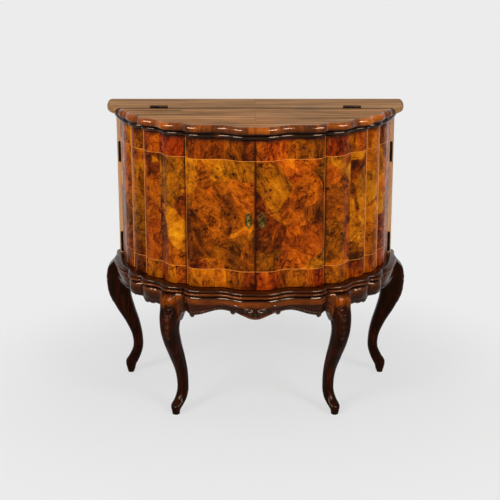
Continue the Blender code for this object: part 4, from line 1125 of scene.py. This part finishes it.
def makeLeg(name, angle):
    # each ring is a rounded square in polar form; rings lean along the S and sweep towards the foot
    s = legShape
    isFront = abs(angle) < 90
    row = s["front" if isFront else "rear"]
    share = np.linspace(0, 1, s["rings"])
    offset, depth, width, square = hermite(row["stations"], share).T[:, :, None]
    share = share[:, None]
    turn = np.linspace(-np.pi, np.pi, s["sides"], endpoint=False)[None, :]
    radius = np.abs(np.cos(turn) / depth) ** square + np.abs(np.sin(turn) / width) ** square
    radius = radius ** (-1 / square)
    out, over = radius * np.cos(turn), radius * np.sin(turn)
    z = np.broadcast_to(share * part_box(name)[1].z, out.shape)
    relief, dark, worn = kneeCarving(z, over + kneeShape["ovalShift"] * np.sign(angle))
    facing = smoothStep(np.cos(turn), *s["facing"]) * (1 - smoothStep(share, *s["plainTop"]))
    edge = row["edge"] * hump(np.abs(turn), *s["edgeTurn"]) * window(share, *s["edgeReach"])
    relief = row["relief"] * relief * facing + s["edgeHeight"] * edge
    out = offset + out + relief * np.cos(turn)
    over = over + relief * np.sin(turn)
    nx, ny = planNormal(angle)
    stand = planShape["depth"] * math.cos(math.radians(angle)) if isFront else s["rearDepth"]
    stand = stand + row["sweep"] * (1 - share) ** s["bend"]
    x = planShape["halfWidth"] * math.sin(math.radians(angle)) + nx * out - ny * over
    y = backY - stand + ny * out + nx * over
    stainAndShade = row["overlay"] - row["light"] * smoothStep(z, *s["lightFrom"]) * facing
    ridge = np.clip(worn * facing + s["edgeWear"] * edge, 0, 1)
    values = {"stainAndShade": np.maximum(stainAndShade, dark * facing), "ridge": ridge}
    block = gridBlock(joined(x, y, z), pointValues=values)
    makePiece("carved_" + name, "frame", [block], [legFinish], [name], sharp=60)


for name, angle in legShape["angles"].items():
    makeLeg(name, angle)
print("legs made")

# key plates: scroll work on the pierced plates, and a dark iron cup behind each keyhole, which stands in for
# the shade in the hole
plateShape = {
    "lobes": 6, "scallop": 0.14, "rimFit": (0.94, 0.96), "rimTube": 0.0011,
    "rings": (  # rise, radius, radius of the tube
        (-0.0135, 0.0042, 0.0009), (0.0135, 0.0042, 0.0009), (0.0, 0.0048, 0.0011),
    ),
    "pathSteps": 96, "tubeSides": 10, "shadeCupRadius": 0.0046,
    "shadeCup": ((0.0018, 0.9), (0.0024, 1.0), (0.0040, 1.0)),  # depth, share of the radius
}


def ringTube(centre, path, radius):
    # a round tube along a closed path in an upright plane: the circle of the tube is set square to the path
    ahead = np.roll(path, -1, 0) - np.roll(path, 1, 0)
    ahead = ahead / np.linalg.norm(ahead, axis=1)[:, None]
    turn = np.linspace(0, 2 * np.pi, plateShape["tubeSides"], endpoint=False)[None, :]
    x = path[:, :1] + radius * np.cos(turn) * ahead[:, 1:]
    z = path[:, 1:] - radius * np.cos(turn) * ahead[:, :1]
    return gridBlock(joined(x, -radius * np.sin(turn), z) + centre, ring=True)


def makeScrolls(word):
    # tubes on a scalloped oval, whose radius falls by a rectified sine, and on three circles; then a dark
    # cup behind the keyhole, standing in for the shade in the hole
    s = plateShape
    low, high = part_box("escutcheon_" + word)
    centre = np.array(((low.x + high.x) / 2, low.y, (low.z + high.z) / 2))
    turn = np.linspace(0, 2 * np.pi, s["pathSteps"], endpoint=False)
    circle = joined(np.cos(turn), np.sin(turn))
    scalloped = 1 - s["scallop"] * np.abs(np.sin(s["lobes"] * turn / 2 + np.pi / 2))
    half = np.array((high.x - low.x, high.z - low.z)) / 2 * s["rimFit"]
    blocks = [ringTube(centre, circle * scalloped[:, None] * half, s["rimTube"])]
    for rise, radius, tube in s["rings"]:
        blocks.append(ringTube(centre, circle * radius + (0, rise), tube))
    makePiece("plate_scrolls_" + word, word + "_door", blocks, [brassFinish])
    # a dark iron cup behind the keyhole: it stands in for the shade inside the hole
    depth, share = np.array(s["shadeCup"]).T[:, :, None]
    around = s["shadeCupRadius"] * share
    shadeCup = gridBlock(joined(around * circle[:, 0], depth, around * circle[:, 1]) + centre)
    makePiece("keyhole_shade_cup_" + word, word + "_door", [shadeCup], [ironFinish])


for side, word in sides:
    makeScrolls(word)
print("key plates made")

# finishes on the solids that stay
keptFinishes = {  # part of a node's name, finish
    "rear_post": paleUpright, "partition": paleUpright, "bottom_board": paleLevel, "shelf_batten": paleLevel,
    "back_panel": walnutUpright, "platform_board": walnutLevel, "top_frame": walnutLevel,
    "rear_rail": darkLevel, "mirror": mirrorFinish, "glass_shelf": glassFinish, "escutcheon": brassFinish,
    "lock_": brassFinish, "_hinge_": ironFinish,
}
for name, node in nodes.items():
    for part, finish in keptFinishes.items():
        if part in name:
            node.data.materials.clear()
            node.data.materials.append(finish)
print("kept solids finished")

# floor, light and camera
stageShape = {
    "floorHalf": 30.0, "floor": shade(236, 236, 236), "fade": (0.55, 1.2), "glow": 0.68, "world": 0.255,
    "backdrop": 0.84, "aim": (0, 0, 0.55),
}
lampShape = {  # place, size, power, whether the polish mirrors it; such a one lights no surface
    "left": ((-2.3, -2.4, 2.5), (1.3, 1.2), 55.0, False),
    "right": ((2.3, -2.4, 2.5), (1.3, 1.2), 55.0, False),
    "front": ((0.0, -3.4, 2.2), (3.0, 1.6), 23.0, False),
    "above": ((0.0, 0.3, 3.6), (2.2, 1.6), 18.0, False),
    "leftGleam": ((-2.0, -2.3, 2.9), (2.5, 1.2), 460.0, True),
    "rightGleam": ((2.0, -2.3, 2.9), (2.5, 1.2), 460.0, True),
}
cameraShape = {"at": (0.0, -3.8245, 1.76), "pitch": 15.45, "lens": 91.9, "shiftX": -0.0108, "shiftY": -0.125}


def shownTo(tree):
    # 1 for the rays of the camera, of gloss and of glass
    path = put(tree, "LightPath").outputs
    seen = calc(tree, "MAXIMUM", path["Is Camera Ray"], path["Is Glossy Ray"])
    return calc(tree, "MAXIMUM", seen, path["Is Transmission Ray"])


def makeFloor():
    # a wide flat square under the feet; further out it glows in its own colour
    s = stageShape
    half = s["floorHalf"]
    mesh = bpy.data.meshes.new("floor")
    corners = [(-half, -half, 0), (half, -half, 0), (half, half, 0), (-half, half, 0)]
    mesh.from_pydata(corners, [], [(0, 1, 2, 3)])
    floor = newObject("floor", mesh)
    finish, tree = newFinish("floor_paint", 0.9, Specular_IOR_Level=0.0, Base_Color=s["floor"])
    glow = put(tree, "Emission", {"Color": s["floor"], "Strength": 1.0}).outputs[0]
    distance = put(tree, "VectorMath", {0: objectPlace(tree)}, operation="LENGTH").outputs["Value"]
    share = times(tree, between(tree, distance, *s["fade"], s["glow"], 1.0), shownTo(tree))
    paint = tree.nodes["Principled BSDF"].outputs[0]
    both = put(tree, "MixShader", {0: share, 1: paint, 2: glow}).outputs[0]
    tree.links.new(both, tree.nodes["Material Output"].inputs["Surface"])
    mesh.materials.append(finish)


def makeLight():
    # a pale world that lights softly; the camera, gloss and glass see it as the pale backdrop
    world = bpy.data.worlds.new("studio")
    bpy.context.scene.world = world
    world.use_nodes = True
    tree = world.node_tree
    background = tree.nodes["Background"].inputs
    background["Color"].default_value = (1, 1, 1, 1)
    level = blend(tree, shownTo(tree), stageShape["world"], stageShape["backdrop"])
    tree.links.new(level, background["Strength"])
    for name, (place, size, power, mirrored) in lampShape.items():
        light = bpy.data.lights.new("lamp_" + name, "AREA")
        light.shape = "RECTANGLE"
        light.size, light.size_y = size
        light.energy = power
        holder = newObject("lamp_" + name, light)
        holder.location = place
        ahead = Vector(stageShape["aim"]) - Vector(place)
        holder.rotation_euler = ahead.to_track_quat("-Z", "Y").to_euler()
        holder.visible_diffuse = not mirrored
        holder.visible_glossy = mirrored  # the others leave no milky patch in the polish


def makeCamera():
    # a long lens, turned down from level by the pitch
    camera = bpy.data.cameras.new("camera")
    camera.lens = cameraShape["lens"]
    camera.shift_x, camera.shift_y = cameraShape["shiftX"], cameraShape["shiftY"]
    holder = newObject("camera", camera)
    holder.location = cameraShape["at"]
    holder.rotation_euler = (math.radians(90 - cameraShape["pitch"]), 0, 0)
    bpy.context.scene.camera = holder


makeFloor()
makeLight()
makeCamera()
bpy.context.scene.view_settings.view_transform = "Standard"
print("stage made")
